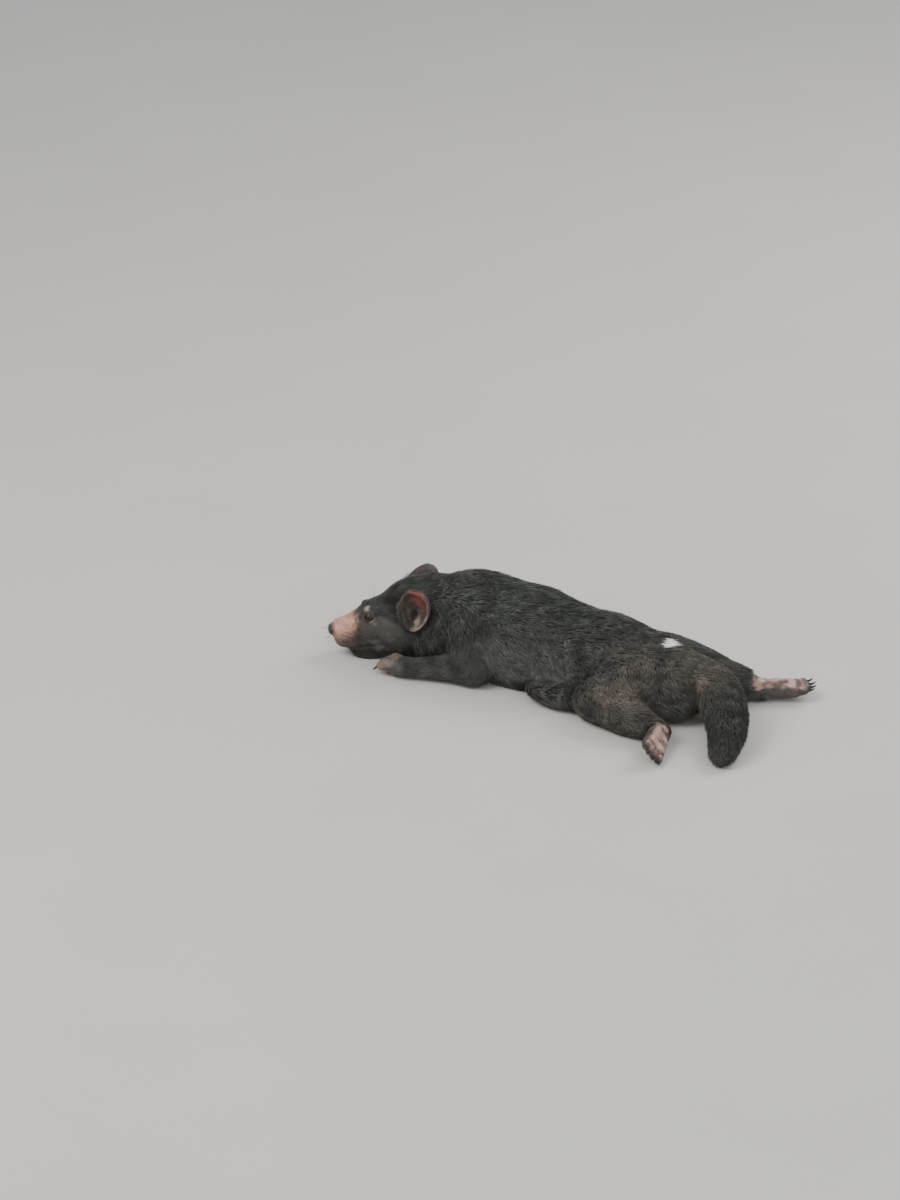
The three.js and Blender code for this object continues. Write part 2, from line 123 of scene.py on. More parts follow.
EYE = {"radius": 8.2, "sink": 6.6, "ahead": 66, "outward": (0.22, 1, 0.46)}
LID_ARC = (-1.1, -0.7, -0.3, 0.1, 0.5, 0.9)
MOUTH = {"front": 104, "front_drop": 31, "corner": 58, "corner_drop": 38, "groove": 1.7, "steps": 40}
EAR = {"above": 36, "below": 33, "width": 46, "wall": 2.6, "stand_off": 7, "rear_rim": 19, "front_rim": 3}
ROLLED_RIM = {"radius": 1.5, "from_rear": -12}
EAR_ROWS = 22
EAR_SECTORS = 72
PAWS = {
    "fore": {"length": 45, "width": 44, "toes": 5, "ball": 26, "heel": 13.5, "toe": (8.2, 7.6), "curl": 5},
    "hind": {"length": 82, "width": 42, "toes": 4, "ball": 56, "heel": 14.5, "toe": (8.4, 6.4), "curl": 3},
}
CLAWS = {"length": 10, "radius": 2.6, "droop": {"fore": 0.3, "hind": 0}, "rings": 12, "sectors": 14}

# Where the bare skin of each paw begins, ahead of its wrist or heel
BARE_FROM = {("fore", "left"): 4, ("fore", "right"): 4, ("hind", "left"): -9, ("hind", "right"): -26}

# Folds before the ear's opening: both ends as distances ahead, to the rear and up, and the thickness
EAR_FOLDS = [
    ((3, -7, -12), (4, 1, -25), 3.4),
    ((1, 9, -20), (2, 11, -6), 2.6),
    ((0, -12, -2), (2, -9, -14), 2.6),
]

# How softly shapes flow together: inside a part, and from the part into the body
BLENDS = {"trunk": (34, 1), "head": (12, 14), "leg": (18, 22), "paw": (2.2, 5), "tail": (2, 24)}


class Axes:
    """A frame with its origin and three axes: ahead, left and top."""

    def __init__(self, origin, forward, up):
        self.origin = origin
        self.ahead = unit(forward)
        self.left = unit(np.cross(up, self.ahead))
        self.top = np.cross(self.ahead, self.left)

    def at(self, ahead, left, up):
        return self.origin + self.ahead * ahead + self.left * left + self.top * up

    def direction(self, ahead, left, up):
        return unit(self.ahead * ahead + self.left * left + self.top * up)


WORLD = Axes(vec(0, 0, 0), vec(1, 0, 0), UP)
HEAD = Axes(
    SKULL,
    vec(
        -math.cos(HEAD_PITCH) * math.cos(HEAD_TURN),
        -math.cos(HEAD_PITCH) * math.sin(HEAD_TURN),
        -math.sin(HEAD_PITCH),
    ),
    UP,
)
EYE_TOP = HEAD.direction(-0.5, 0, 1)
NOSE_PAD = HEAD.at(NOSE_REACH - 9, 0, -1)
PAW_AXES = {
    ("fore", "left"): Axes(LEFT["wrist"], vec(-0.96, 0.2, 0.11), UP),
    ("fore", "right"): Axes(RIGHT["wrist"], vec(-1, -0.05, 0.02), UP),
    ("hind", "left"): Axes(LEFT["heel"], vec(0.24, -0.95, -0.04), vec(-0.75, -0.1, -0.6)),
    ("hind", "right"): Axes(RIGHT["heel"], vec(0.88, 0.47, 0.01), vec(0, 0, -1)),
}


# Shapes as distance fields in millimetres, each with the box that holds it
class Ellipsoid:
    """An ellipsoid whose three radii lie along the axes of a frame."""

    def __init__(self, centre, radii, axes=WORLD):
        self.centre = centre
        self.radii = radii
        self.axes = (axes.ahead, axes.left, axes.top)
        spread = np.sqrt(sum((axis * r) ** 2 for axis, r in zip(self.axes, radii)))
        self.low = centre - spread
        self.high = centre + spread

    def distance(self, x, y, z):
        away = (x - self.centre[0], y - self.centre[1], z - self.centre[2])
        near = 0
        slope = 0
        for axis, r in zip(self.axes, self.radii):
            along = away[0] * axis[0] + away[1] * axis[1] + away[2] * axis[2]
            near = near + (along / r) ** 2
            slope = slope + (along / (r * r)) ** 2
        near = np.sqrt(near)
        return near * (near - 1) / np.maximum(np.sqrt(slope), 1e-6)


class Bar:
    """A bar with round ends whose radius runs from ra to rb."""

    def __init__(self, a, b, ra, rb):
        self.a = a
        self.axis = b - a
        self.span = float(self.axis @ self.axis)
        self.ra = ra
        self.rb = rb
        self.low = np.minimum(a - ra, b - rb)
        self.high = np.maximum(a + ra, b + rb)

    def distance(self, x, y, z):
        px, py, pz = x - self.a[0], y - self.a[1], z - self.a[2]
        fall = self.ra - self.rb
        flat = self.span - fall * fall
        s = px * self.axis[0] + py * self.axis[1] + pz * self.axis[2]
        wide = px * px + py * py + pz * pz - s * s / self.span
        wide = np.maximum(wide, 0) * self.span * self.span
        off = s - self.span
        k = np.sign(fall) * fall * fall * wide
        end = np.sqrt(wide + off * off * self.span) / self.span - self.rb
        start = np.sqrt(wide + s * s * self.span) / self.span - self.ra
        side = (np.sqrt(wide * flat / self.span) + s * fall) / self.span - self.ra
        past_end = np.sign(off) * flat * off * off * self.span > k
        past_start = np.sign(s) * flat * s * s * self.span < k
        return np.where(past_end, end, np.where(past_start, start, side))


class Flesh:
    """A shape of the body with the skin that lies under its coat."""

    def __init__(self, outer, depth=0, inner=None):
        self.outer = outer
        self.depth = depth
        self.inner = inner
        self.low = outer.low
        self.high = outer.high

    def layers(self, x, y, z):
        coat = self.outer.distance(x, y, z)
        skin = coat + self.depth if self.inner is None else self.inner.distance(x, y, z)
        return np.stack([coat, skin]).astype(np.float32)


def on_head(place, radii, depth):
    return Flesh(Ellipsoid(HEAD.at(*place), radii, HEAD), depth)


def pair_on_head(place, radii, depth):
    ahead, aside, up = place
    return [on_head((ahead, aside * side, up), radii, depth) for side in (1, -1)]


def bar_on_head(a, b, ra, rb, depth):
    return Flesh(Bar(HEAD.at(*a), HEAD.at(*b), ra, rb), depth)


def trunk_shapes():
    """The trunk from its named middles, each with its radii and the depth of the coat over it."""
    shapes = [
        Flesh(Ellipsoid(WITHERS, (80, 80, BACK_HEIGHT - 2 - WITHERS[2])), 8),
        Flesh(Ellipsoid(RIBS, (125, TRUNK_HALF - 1, BACK_HEIGHT - 8 - RIBS[2])), 8),
        Flesh(Ellipsoid(LOIN, (118, TRUNK_HALF - 6, 76)), 8),
        Flesh(Ellipsoid(PELVIS, (86, TRUNK_HALF - 14, 53)), 8),
        Flesh(Ellipsoid(BUTTOCK, (46, 44, 40)), 8),
        Flesh(Bar(NAPE, HEAD.at(-34, 0, -16), 66, 55), 8),
        Flesh(Ellipsoid(THROAT, (58, 70, 50)), 7),
        Flesh(Ellipsoid(FLANK, (64, 30, 20)), 7),
    ]
    for limb in LIMBS.values():
        shapes.append(Flesh(Ellipsoid(limb["shoulder"] * 0.88 + RIBS * 0.12, (56, 44, 52)), 8))
    return shapes


def head_shapes():
    """The head in its own frame: places ahead, left and up, radii, and the depth of the coat."""
    skull = on_head((-4, 0, -1), (60, 52, 46), 4.5)
    brow = on_head((42, 0, 1), (52, 36, 27), 2.2)
    cheeks = pair_on_head((22, 28, -22), (46, 28, 36), 4)
    muzzle = bar_on_head((58, 0, -7), (115, 0, -9), 31, 22, 0.6)
    muzzle_sides = pair_on_head((107, 11, -20), (27, 15, 16), 0.6)
    jaw = bar_on_head((24, 0, -50), (101, 0, -41), 36, 18, 2.2)
    jaw_sides = pair_on_head((74, 14, -55), (44, 17, 16), 2)
    lips = [bar_on_head((108, 10 * side, -33), (66, 25 * side, -44), 6, 7, 1) for side in (1, -1)]
    throat = on_head((-16, 6, -50), (60, 56, 42), 5)
    return [skull, brow, *cheeks, muzzle, *muzzle_sides, jaw, *jaw_sides, *lips, throat]


def leg_shapes(side):
    """The upper and the lower length of both legs of one side, each a list of shapes."""
    limb = LIMBS[side]
    hip, knee, heel = limb["hip"], limb["knee"], limb["heel"]
    haunch = Ellipsoid((hip + knee) / 2, (60, 50, 42), Axes(hip, knee - hip, UP))
    calf = Ellipsoid(knee * 0.58 + heel * 0.42, (56, 32, 31), Axes(knee, heel - knee, UP))
    return [
        [Flesh(Bar(hip, knee, 42, 32), 6), Flesh(haunch, 6)],
        [Flesh(Bar(knee, heel, 25, 19), 3.5), Flesh(calf, 5)],
        [Flesh(Bar(limb["shoulder"], limb["elbow"], 38, 27), 6)],
        [Flesh(Bar(limb["elbow"], limb["wrist"], 23, 16), 3.5)],
    ]


def paw_shapes():
    """The shapes of each paw; also the middle of every pad, and the root and direction of every claw."""
    paws = []
    claws = {}
    pads = []
    for (kind, side), axes in PAW_AXES.items():
        shapes = []
        size = PAWS[kind]
        heel, width, ball = size["heel"], size["width"], size["ball"]
        for edge in (-1, 1):
            near = axes.at(0, edge * width * 0.08, 0)
            far = axes.at(ball, edge * (width / 2 - heel * 0.8), -1)
            shapes.append(Flesh(Bar(near, far, heel - 0.6, heel * 0.82 - 0.6)))
        shapes.append(Flesh(Bar(axes.at(4, 0, 0.5), axes.at(ball * 0.9, 0, 0.5), heel - 1.5, heel * 0.8)))
        for i in range(size["toes"]):
            across = 2 * i / (size["toes"] - 1) - 1
            back = 0.14 * (size["length"] - ball) * across * across
            root_radius, tip_radius = size["toe"]
            root = axes.at(ball - 2, across * (width / 2 - root_radius), -1)
            reach = size["length"] - tip_radius - back
            tip = axes.at(reach, across * (width / 2 - tip_radius + 1), -size["curl"])
            shapes.append(Flesh(Bar(root, tip, root_radius - 0.7, tip_radius - 0.4)))
            toe_pad = tip - axes.top * tip_radius * 0.5 - axes.ahead * 1.5
            shapes.append(Flesh(Ellipsoid(toe_pad, (tip_radius * 0.95, 4.6, 4.2), axes)))
            knuckle = axes.at(ball - 3 - 0.5 * back, across * (width / 2 - root_radius - 1), -heel * 0.5)
            shapes.append(Flesh(Ellipsoid(knuckle, (7.2, 4.8, 4.6), axes)))
            pads += [((kind, side), toe_pad - axes.top * 3), ((kind, side), knuckle - axes.top * 4)]
            ahead = unit(unit(tip - root) - axes.top * CLAWS["droop"][kind])
            claws[f"claw_{kind}_{side}_{i + 1}"] = (tip, ahead, -axes.top, CLAWS["length"] + tip_radius)
        palm_pads = {"fore": [(ball * 0.45, -0.22), (ball * 0.4, 0.24)], "hind": [(4, 0), (ball * 0.5, -0.2)]}
        for ahead, across in palm_pads[kind]:
            middle = axes.at(ahead, across * width, -heel * 0.66)
            shapes.append(Flesh(Ellipsoid(middle, (9, 7, 4.4), axes)))
            pads.append(((kind, side), middle - axes.top * 4))
        paws.append(shapes)
    return paws, claws, pads


def tail_shapes():
    return [Flesh(coat, inner=skin) for coat, skin in zip(tail_curve(TAIL_COAT), tail_curve(TAIL_SKIN))]


def tail_curve(radii):
    """Short bars along a smooth curve through the points of the tail."""
    line = []
    for i in range(len(TAIL) - 1):
        before, a, b, after = (TAIL[min(max(k, 0), len(TAIL) - 1)] for k in range(i - 1, i + 3))
        for t in (0, 0.25, 0.5, 0.75):
            bend = (2 * before - 5 * a + 4 * b - after) * t * t + (3 * a - before - 3 * b + after) * t**3
            line.append((a + 0.5 * ((b - before) * t + bend), radii[i] * (1 - t) + radii[i + 1] * t))
    line.append((TAIL[-1], radii[-1]))
    return [Bar(a, b, ra, rb) for (a, ra), (b, rb) in zip(line[:-1], line[1:])]


def smooth_min(a, b, softness):
    near = np.maximum(softness - np.abs(a - b), 0)
    return np.minimum(a, b) - near * near / (4 * softness)


def smooth_max(a, b, softness):
    return -smooth_min(-a, -b, softness)


class Grid:
    """Distances to the outside of the coat (layer 0) and to the skin under it (layer 1), on a lattice."""

    def __init__(self, low, high, step):
        self.step = step
        low = np.array([low[0], low[1], max(low[2], UNDER_FLOOR)])
        self.first = np.floor(low / step).astype(int)
        self.size = np.ceil(np.asarray(high) / step).astype(int) - self.first + 1
        self.values = np.full((2, *self.size), FAR, dtype=np.float32)

    def window(self, low, high, margin):
        start = np.floor((low - margin) / self.step).astype(int) - self.first
        stop = np.ceil((high + margin) / self.step).astype(int) - self.first + 1
        start, stop = np.maximum(start, 0), np.minimum(stop, self.size)
        return tuple(slice(a, b) for a, b in zip(start, stop))

    def places(self, cut):
        ticks = [first + np.arange(part.start, part.stop) for first, part in zip(self.first, cut)]
        x, y, z = ((tick * self.step).astype(np.float32) for tick in ticks)
        return x[:, None, None], y[None, :, None], z[None, None, :]

    def merge(self, other, softness):
        """Joins another grid's body to this one."""
        start = other.first - self.first
        stop = np.minimum(start + other.size, self.size)
        inner = np.maximum(-start, 0)
        start = np.maximum(start, 0)
        here = (slice(None), *(slice(a, b) for a, b in zip(start, stop)))
        there = (slice(None), *(slice(a, a + b - c) for a, b, c in zip(inner, stop, start)))
        self.values[here] = smooth_min(self.values[here], other.values[there], softness)

    def add_skin(self, shape, softness):
        cut = (1, *self.window(shape.low, shape.high, softness + SKIN_MARGIN))
        self.values[cut] = smooth_min(self.values[cut], shape.distance(*self.places(cut[1:])), softness)

    def carve(self, shape, softness):
        cut = (1, *self.window(shape.low, shape.high, softness + SKIN_MARGIN))
        self.values[cut] = smooth_max(self.values[cut], -shape.distance(*self.places(cut[1:])), softness)

    def sample(self, points, layer=1):
        """Values of one layer between the lattice points."""
        spot = points / self.step - self.first
        base = np.clip(np.floor(spot).astype(int), 0, self.size - 2)
        part = np.clip(spot - base, 0, 1)
        values = self.values[layer]
        total = 0
        for i in (0, 1):
            wx = part[:, 0] if i else 1 - part[:, 0]
            for j in (0, 1):
                wy = part[:, 1] if j else 1 - part[:, 1]
                for k in (0, 1):
                    wz = part[:, 2] if k else 1 - part[:, 2]
                    total = total + wx * wy * wz * values[base[:, 0] + i, base[:, 1] + j, base[:, 2] + k]
        return total

    def slope(self, points, layer=1):
        """The unit direction in which a layer's distance grows."""
        reach = self.step
        rise = np.empty_like(points)
        for axis in range(3):
            shift = np.zeros(3)
            shift[axis] = reach
            rise[:, axis] = self.sample(points + shift, layer) - self.sample(points - shift, layer)
        return rise / np.maximum(np.linalg.norm(rise, axis=1, keepdims=True), 1e-6)

    def hit(self, origin, direction, layer=1):
        """Where a ray from inside the body leaves it."""
        far = np.arange(1, RAY_REACH, RAY_STEP)
        path = origin + direction * far[:, None]
        outside = np.nonzero(self.sample(path, layer) > 0)[0]
        if not len(outside):
            raise RuntimeError("A ray from inside the body never left it")
        return path[outside[0]]

    def mesh(self, layer=1):
        """Points and quads of the surface where a layer is zero."""
        band = self.step * 3
        volume = openvdb.FloatGrid(band)
        volume.copyFromArray(np.clip(self.values[layer], -band, band))
        points, _, quads = volume.convertToPolygons(0.0, 0.0)
        return (points + self.first) * self.step, quads.astype(np.int64)


def joined(fleshes, softness, step):
    """One smooth body from several shapes, with its coat and its skin."""
    low = np.min([flesh.low for flesh in fleshes], axis=0) - softness - BOX_MARGIN
    high = np.max([flesh.high for flesh in fleshes], axis=0) + softness + BOX_MARGIN
    grid = Grid(low, high, step)
    for flesh in fleshes:
        cut = (slice(None), *grid.window(flesh.low, flesh.high, softness + FLESH_MARGIN))
        layers = flesh.layers(*grid.places(cut[1:]))
        grid.values[cut] = smooth_min(grid.values[cut], layers, softness)
    return grid


# An ear: an open cup whose rim is an egg outline, standing out most at the back
def ear_axes(outside):
    """Each ear's frame, standing on the coat: ahead is out of its opening and up is to its tip."""
    places = {
        1: (HEAD.at(-6, 0, 8), HEAD.direction(0.35, 1, 0.15), HEAD.direction(-0.55, -0.25, 0.9)),
        -1: (HEAD.at(-17, 0, -11), HEAD.direction(0, -1, 0.25), HEAD.direction(-0.85, 0, 0.7)),
    }
    made = {}
    for side, (root, out, up) in places.items():
        skin = outside.hit(root, HEAD.direction(0, side, 0.12), 0)
        made[side] = Axes(skin + out * EAR["stand_off"], out, up)
    return made


def round_angles(sectors):
    return np.linspace(0, 2 * math.pi, sectors, endpoint=False)


def from_local(local, origin, axes):
    """Points from their distances ahead, left and up of an origin."""
    return origin + local[:, :1] * axes.ahead + local[:, 1:2] * axes.left + local[:, 2:] * axes.top


def ear_shell(axes, side, wall):
    """Points and triangles of the closed cup."""
    rows, sectors = EAR_ROWS, EAR_SECTORS
    foot = wall + 6
    angle = round_angles(sectors)
    up, rear = np.cos(angle), np.sin(angle)
    rim = EAR["front_rim"] + (EAR["rear_rim"] - EAR["front_rim"]) * (0.5 + 0.32 * rear + 0.32 * up)
    across = 0.5 * EAR["width"] * (1 + 0.22 * up) * rear
    tall = np.where(up > 0, EAR["above"], EAR["below"]) * up

    def surface(depth, widen):
        rings = []
        for i in range(rows):
            v = (i + 1) / rows
            spread = (0.3 + 0.7 * math.sin(v * math.pi / 2)) * (1 + 2 * widen * v / EAR["width"])
            ahead = rim * v**1.6 - depth * (1 - 0.6 * v)
            rings.append(np.stack([ahead, across * spread * side, tall * spread], axis=1))
        return rings

    rings = surface(0, 0) + surface(foot, wall)[::-1]
    local = np.concatenate(rings + [np.array([[0, 0, 0], [-foot, 0, 0]])])
    return from_local(local, axes.origin, axes), ring_faces(2 * rows, sectors)[:, (0, 2, 1)]


def ear_rim(shell):
    return shell[(EAR_ROWS - 1) * EAR_SECTORS : EAR_ROWS * EAR_SECTORS]


def ring_faces(rings, sectors):
    """Triangles of stacked rings, closed by the two points that follow them."""
    start, end = rings * sectors, rings * sectors + 1
    last = (rings - 1) * sectors
    faces = []
    for j in range(sectors):
        k = (j + 1) % sectors
        faces += [(start, j, k), (end, last + k, last + j)]
        for a in range(0, last, sectors):
            b = a + sectors
            faces += [(a + j, b + k, a + k), (a + j, b + j, b + k)]
    return np.array(faces)


def shell_distance(grid, points, triangles):
    """Distance to a closed thin mesh on the part of the lattice round it."""
    band = 4
    cut = grid.window(points.min(axis=0), points.max(axis=0), FLESH_MARGIN)
    spots = points / grid.step - grid.first
    level = openvdb.FloatGrid.createLevelSetFromPolygons(
        spots.astype(np.float32), triangles=triangles.astype(np.uint32), halfWidth=band
    )
    values = np.empty([c.stop - c.start for c in cut], dtype=np.float32)
    level.copyToArray(values, ijk=tuple(c.start for c in cut))
    return cut, values * grid.step


class Body:
    """The whole animal's coat and skin as distance fields, and the places of its details."""

    def __init__(self, step):
        self.grid = Grid(BODY_LOW, BODY_HIGH, step)
        self.add_part("trunk", trunk_shapes())
        self.add_part("head", head_shapes())
        self.place_eyes()
        self.ears = ear_axes(self.grid)
        for side in LIMBS:
            for shapes in leg_shapes(side):
                self.add_part("leg", shapes)
        paws, self.claws, self.pads = paw_shapes()
        for shapes in paws:
            self.add_part("paw", shapes)
        self.add_part("tail", tail_shapes())
        self.model_face()
        self.raise_ears()
        self.rest_on_floor()

    def add_part(self, kind, shapes):
        inside, into_body = BLENDS[kind]
        self.grid.merge(joined(shapes, inside, self.grid.step), into_body)

    def place_eyes(self):
        self.eyes = {}
        ahead, aside, up = EYE["outward"]
        for side, sign in (("left", 1), ("right", -1)):
            outward = HEAD.direction(ahead, aside * sign, up)
            skin = self.grid.hit(HEAD.at(EYE["ahead"], 0, 0), outward, 0)
            self.eyes[side] = (skin - outward * EYE["sink"], outward)

    def mouth_line(self):
        """Points of the closed mouth on the skin, from corner to corner round the front."""
        line = []
        steps = MOUTH["steps"]
        for i in range(-steps, steps + 1):
            s = abs(i) / steps
            turn = math.radians(min(s * 2, 1) * 90)
            ahead = MOUTH["front"] + (MOUTH["corner"] - MOUTH["front"]) * max(2 * s - 1, 0)
            drop = MOUTH["front_drop"] + (MOUTH["corner_drop"] - MOUTH["front_drop"]) * s
            outward = HEAD.direction(math.cos(turn), math.copysign(math.sin(turn), i), 0)
            line.append(self.grid.hit(HEAD.at(ahead, 0, -drop), outward))
        return line

    def model_face(self):
        """The end of the muzzle with a crease on each side, the mouth's groove and the lids of the eyes."""
        grid = self.grid
        grid.add_skin(Ellipsoid(HEAD.at(121, 0, -1.5), (17, 16.5, 13.5), HEAD), 7)
        grid.add_skin(Ellipsoid(HEAD.at(129, 0, -2), (9.5, 12.5, 10.5), HEAD), 4)
        for side in (1, -1):
            grid.carve(Bar(HEAD.at(91, 8 * side, 22), HEAD.at(95, 30 * side, -6), 1.5, 1.2), 3)
        self.mouth = self.mouth_line()
        for a, b in zip(self.mouth[:-1], self.mouth[1:]):
            grid.carve(Bar(a, b, MOUTH["groove"], MOUTH["groove"]), 2.2)
        radius = EYE["radius"]
        for centre, outward in self.eyes.values():
            look = Axes(centre, outward, EYE_TOP)
            grid.add_skin(Ellipsoid(centre, (radius + 1.2,) * 3), 7)
            for fold, rise, thick in ((1, 0.8, 1.8), (-1, 0.7, 1.2)):
                heights = [fold * radius * (rise - 0.38 * x * x) for x in LID_ARC]
                arc = [look.at(radius * 0.66, radius * x, height) for x, height in zip(LID_ARC, heights)]
                for a, b in zip(arc[:-1], arc[1:]):
                    grid.add_skin(Bar(a, b, thick, thick), 2.5)
            grid.carve(Ellipsoid(centre, (radius + 0.15,) * 3), 0.4)
            grid.carve(Ellipsoid(look.at(radius, 0, -0.3), (radius, 6.8, 4.2), look), 0.8)

    def raise_ears(self):
        """Thin cups with a rolled rim, and the folds in front of the ear's opening."""
        for side, axes in self.ears.items():
            points, triangles = ear_shell(axes, side, EAR["wall"])
            cut, distance = shell_distance(self.grid, points, triangles)
            cut = (1, *cut)
            self.grid.values[cut] = smooth_min(self.grid.values[cut], distance, 3)
            rim = ear_rim(points)
            for a, b in zip(rim, np.roll(rim, -1, axis=0)):
                if (a - axes.origin) @ axes.left * side > ROLLED_RIM["from_rear"]:
                    self.grid.add_skin(Bar(a, b, ROLLED_RIM["radius"], ROLLED_RIM["radius"]), 1.5)
            self.grid.add_skin(Ellipsoid(axes.at(-13, 0, -3), (10, 14, 21), axes), 6)
            for a, b, thick in EAR_FOLDS:
                start, end = (axes.at(ahead, rear * side, up) for ahead, rear, up in (a, b))
                self.grid.add_skin(Bar(start, end, thick, thick * 0.8), 4)
            self.grid.carve(Ellipsoid(axes.at(-1, -1 * side, -9), (8, 5.5, 9), axes), 3)

    def rest_on_floor(self):
        z = self.grid.places([slice(0, n) for n in self.grid.size])[2]
        self.grid.values[1] = smooth_max(self.grid.values[1], FLOOR_GAP["skin"] - z, 4)


@functools.lru_cache(maxsize=1)
def body():
    return Body(LATTICE)


# From the layout to the frame: the eyes are the same balls in both
@functools.lru_cache(maxsize=1)
def offset():
    shifts = []
    for side, (centre, _) in body().eyes.items():
        low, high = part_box(f"eye_{side}")
        shifts.append((np.array(low) + np.array(high)) / 2 / MM - centre)
    if np.abs(shifts[0] - shifts[1]).max() > 1:
        raise RuntimeError("The eyes of the frame don't agree with the pose in this script")
    return (shifts[0] + shifts[1]) / 2 * vec(1, 1, 0)


def to_frame(points):
    return (points + offset()) * MM


def new_object(name, points, faces, attributes=None):
    """An object with its place in its mesh; points are in the layout's millimetres."""
    mesh = bpy.data.meshes.new(name)
    mesh.vertices.add(len(points))
    mesh.vertices.foreach_set("co", to_frame(points).astype(np.float32).ravel())
    sides = faces.shape[1]
    mesh.loops.add(faces.size)
    mesh.loops.foreach_set("vertex_index", faces.astype(np.int32).ravel())
    mesh.polygons.add(len(faces))
    mesh.polygons.foreach_set("loop_start", np.arange(0, faces.size, sides, dtype=np.int32))
    mesh.update(calc_edges=True)
    mesh.shade_smooth()
    for key, values in (attributes or {}).items():
        set_attribute(mesh, key, values)
    made = bpy.data.objects.new(name, mesh)
    bpy.context.scene.collection.objects.link(made)
    return made


def set_attribute(mesh, key, values):
    kind = "FLOAT_VECTOR" if values.ndim == 2 else "FLOAT"
    layer = mesh.attributes.new(key, kind, "POINT")
    layer.data.foreach_set("vector" if values.ndim == 2 else "value", values.astype(np.float32).ravel())


def layout_points(mesh):
    """The vertices of a mesh back in the layout's millimetres."""
    flat = np.empty(len(mesh.vertices) * 3, dtype=np.float32)
    mesh.vertices.foreach_get("co", flat)
    return flat.reshape(-1, 3).astype(np.float64) / MM - offset()


def baked(made):
    """Applies an object's modifiers by taking its evaluated mesh."""
    graph = bpy.context.evaluated_depsgraph_get()
    mesh = bpy.data.meshes.new_from_object(made.evaluated_get(graph))
    made.modifiers.clear()
    old = made.data
    made.data = mesh
    bpy.data.meshes.remove(old)
    mesh.name = made.name
    return made


def ease(values, low, high):
    t = np.clip((values - low) / (high - low), 0, 1)
    return t * t * (3 - 2 * t)


def in_axes(points, axes):
    """Points as distances ahead, left and up in a frame."""
    away = points - axes.origin
    return away @ axes.ahead, away @ axes.left, away @ axes.top


def spread_over(points, shapes):
    """The least distance from points to some shapes."""
    x, y, z = points.T
    return np.min([shape.distance(x, y, z) for shape in shapes], axis=0)


# Painted highlight above the left eye, where light glints on the bare upper lid, and the pale pink corner of
# its lower lid: middle, radius and strength
LEFT_BROW_HIGHLIGHT_AND_LID_CORNER = [(HEAD.at(71.8, 13, 24), 9.5, 1.0), (HEAD.at(67.5, 33.3, 3), 6.0, 0.5)]
MUZZLE_EDGE = 92


# Where the animal is bare, as masks from 0 to 1 over the points of the skin
def face_masks(points):
    """Muzzle with its thinly haired border and jowls, lips and nose border, eyelids, and a painted highlight
    above the left eye with the pale corner of its lower lid.
    """
    ahead, _, up = in_axes(points, HEAD)
    near_head = 1 - ease(spread_over(points, [Ellipsoid(HEAD.at(70, 0, -25), (100, 70, 60), HEAD)]), 0, 8)
    edge = MUZZLE_EDGE + 0.35 * np.maximum(16 - up, 0) + 3 * ripple(points, 9, 31)
    muzzle = ease(ahead, edge - 6, edge + 7) * near_head * ease(up, -19, 5)
    jowl = ease(ahead, edge - 16, edge + 4) * near_head * (1 - ease(up, -15, 4)) * ease(up, -46, -28)
    thin = ease(ahead, edge - 19, edge + 3) * near_head * ease(up, -40, -6)
    thin *= 0.82 + 0.18 * ripple(points, 5, 33)
    lip = 1 - ease(nearest(points, np.array(body().mouth), 5), 1.2, 3.0)
    by_nose = spread_over(points, [Ellipsoid(NOSE_PAD, (10, 12.6, 10.6), HEAD)])
    lip = np.maximum(lip, 0.8 * (1 - ease(by_nose, 0, 4.5)))
    # The brow mask: a painted highlight above the left eye, and the pale corner of its lower lid
    brow = np.zeros(len(points))
    for middle, size, strength in LEFT_BROW_HIGHLIGHT_AND_LID_CORNER:
        away = np.linalg.norm(points - middle, axis=1) + 2.4 * ripple(points, 5, 35)
        brow = np.maximum(brow, strength * (1 - ease(away, size * 0.3, size)))
    lid = np.zeros(len(points))
    for centre, _ in body().eyes.values():
        away = np.linalg.norm(points - centre, axis=1)
        lid = np.maximum(lid, 1 - ease(away, EYE["radius"] + 2.2, EYE["radius"] + 4.6))
    return {"muzzle": muzzle, "jowl": jowl, "thin": thin, "lip": lip, "lid": lid, "brow": brow}


def ear_masks(points):
    """The whole ear, its reddish inside, its rear rim, the pale lobe and the fringe of its front edge."""
    masks = {name: np.zeros(len(points)) for name in ("ear", "ear_inner", "rim", "lobe", "fringe")}
    for side, axes in body().ears.items():
        shell, _ = ear_shell(axes, side, EAR["wall"])
        out, left, up = in_axes(points, axes)
        rear = left * side
        near = 1 - ease(nearest(points, shell, 12), 2.0, 5.5)
        facing = body().grid.slope(points) @ axes.ahead
        inside = near * ease(facing, -0.15, 0.35) * ease(out, -9, -4)
        by_rim = 1 - ease(nearest(points, ear_rim(shell), 6), 2, 5)
        across = np.maximum(ease(rear, -12, 2), ease(up, 6, 15) * ease(rear, -19, -11))
        found = {
            "ear": near,
            "ear_inner": inside * ease(up, -6, 14) * across,
            "rim": by_rim * ease(rear, 4, 14) * (1 - ease(up, 18, 30)),
            "lobe": inside * (1 - ease(up, -15, -5)) * ease(rear, -4, 2) * (1 - ease(rear, 9, 14)),
            "fringe": near * ease(-rear, 3, 13) * (1 - ease(up, 2, 12)),
        }
        masks = {name: np.maximum(masks[name], found[name]) for name in masks}
    return masks


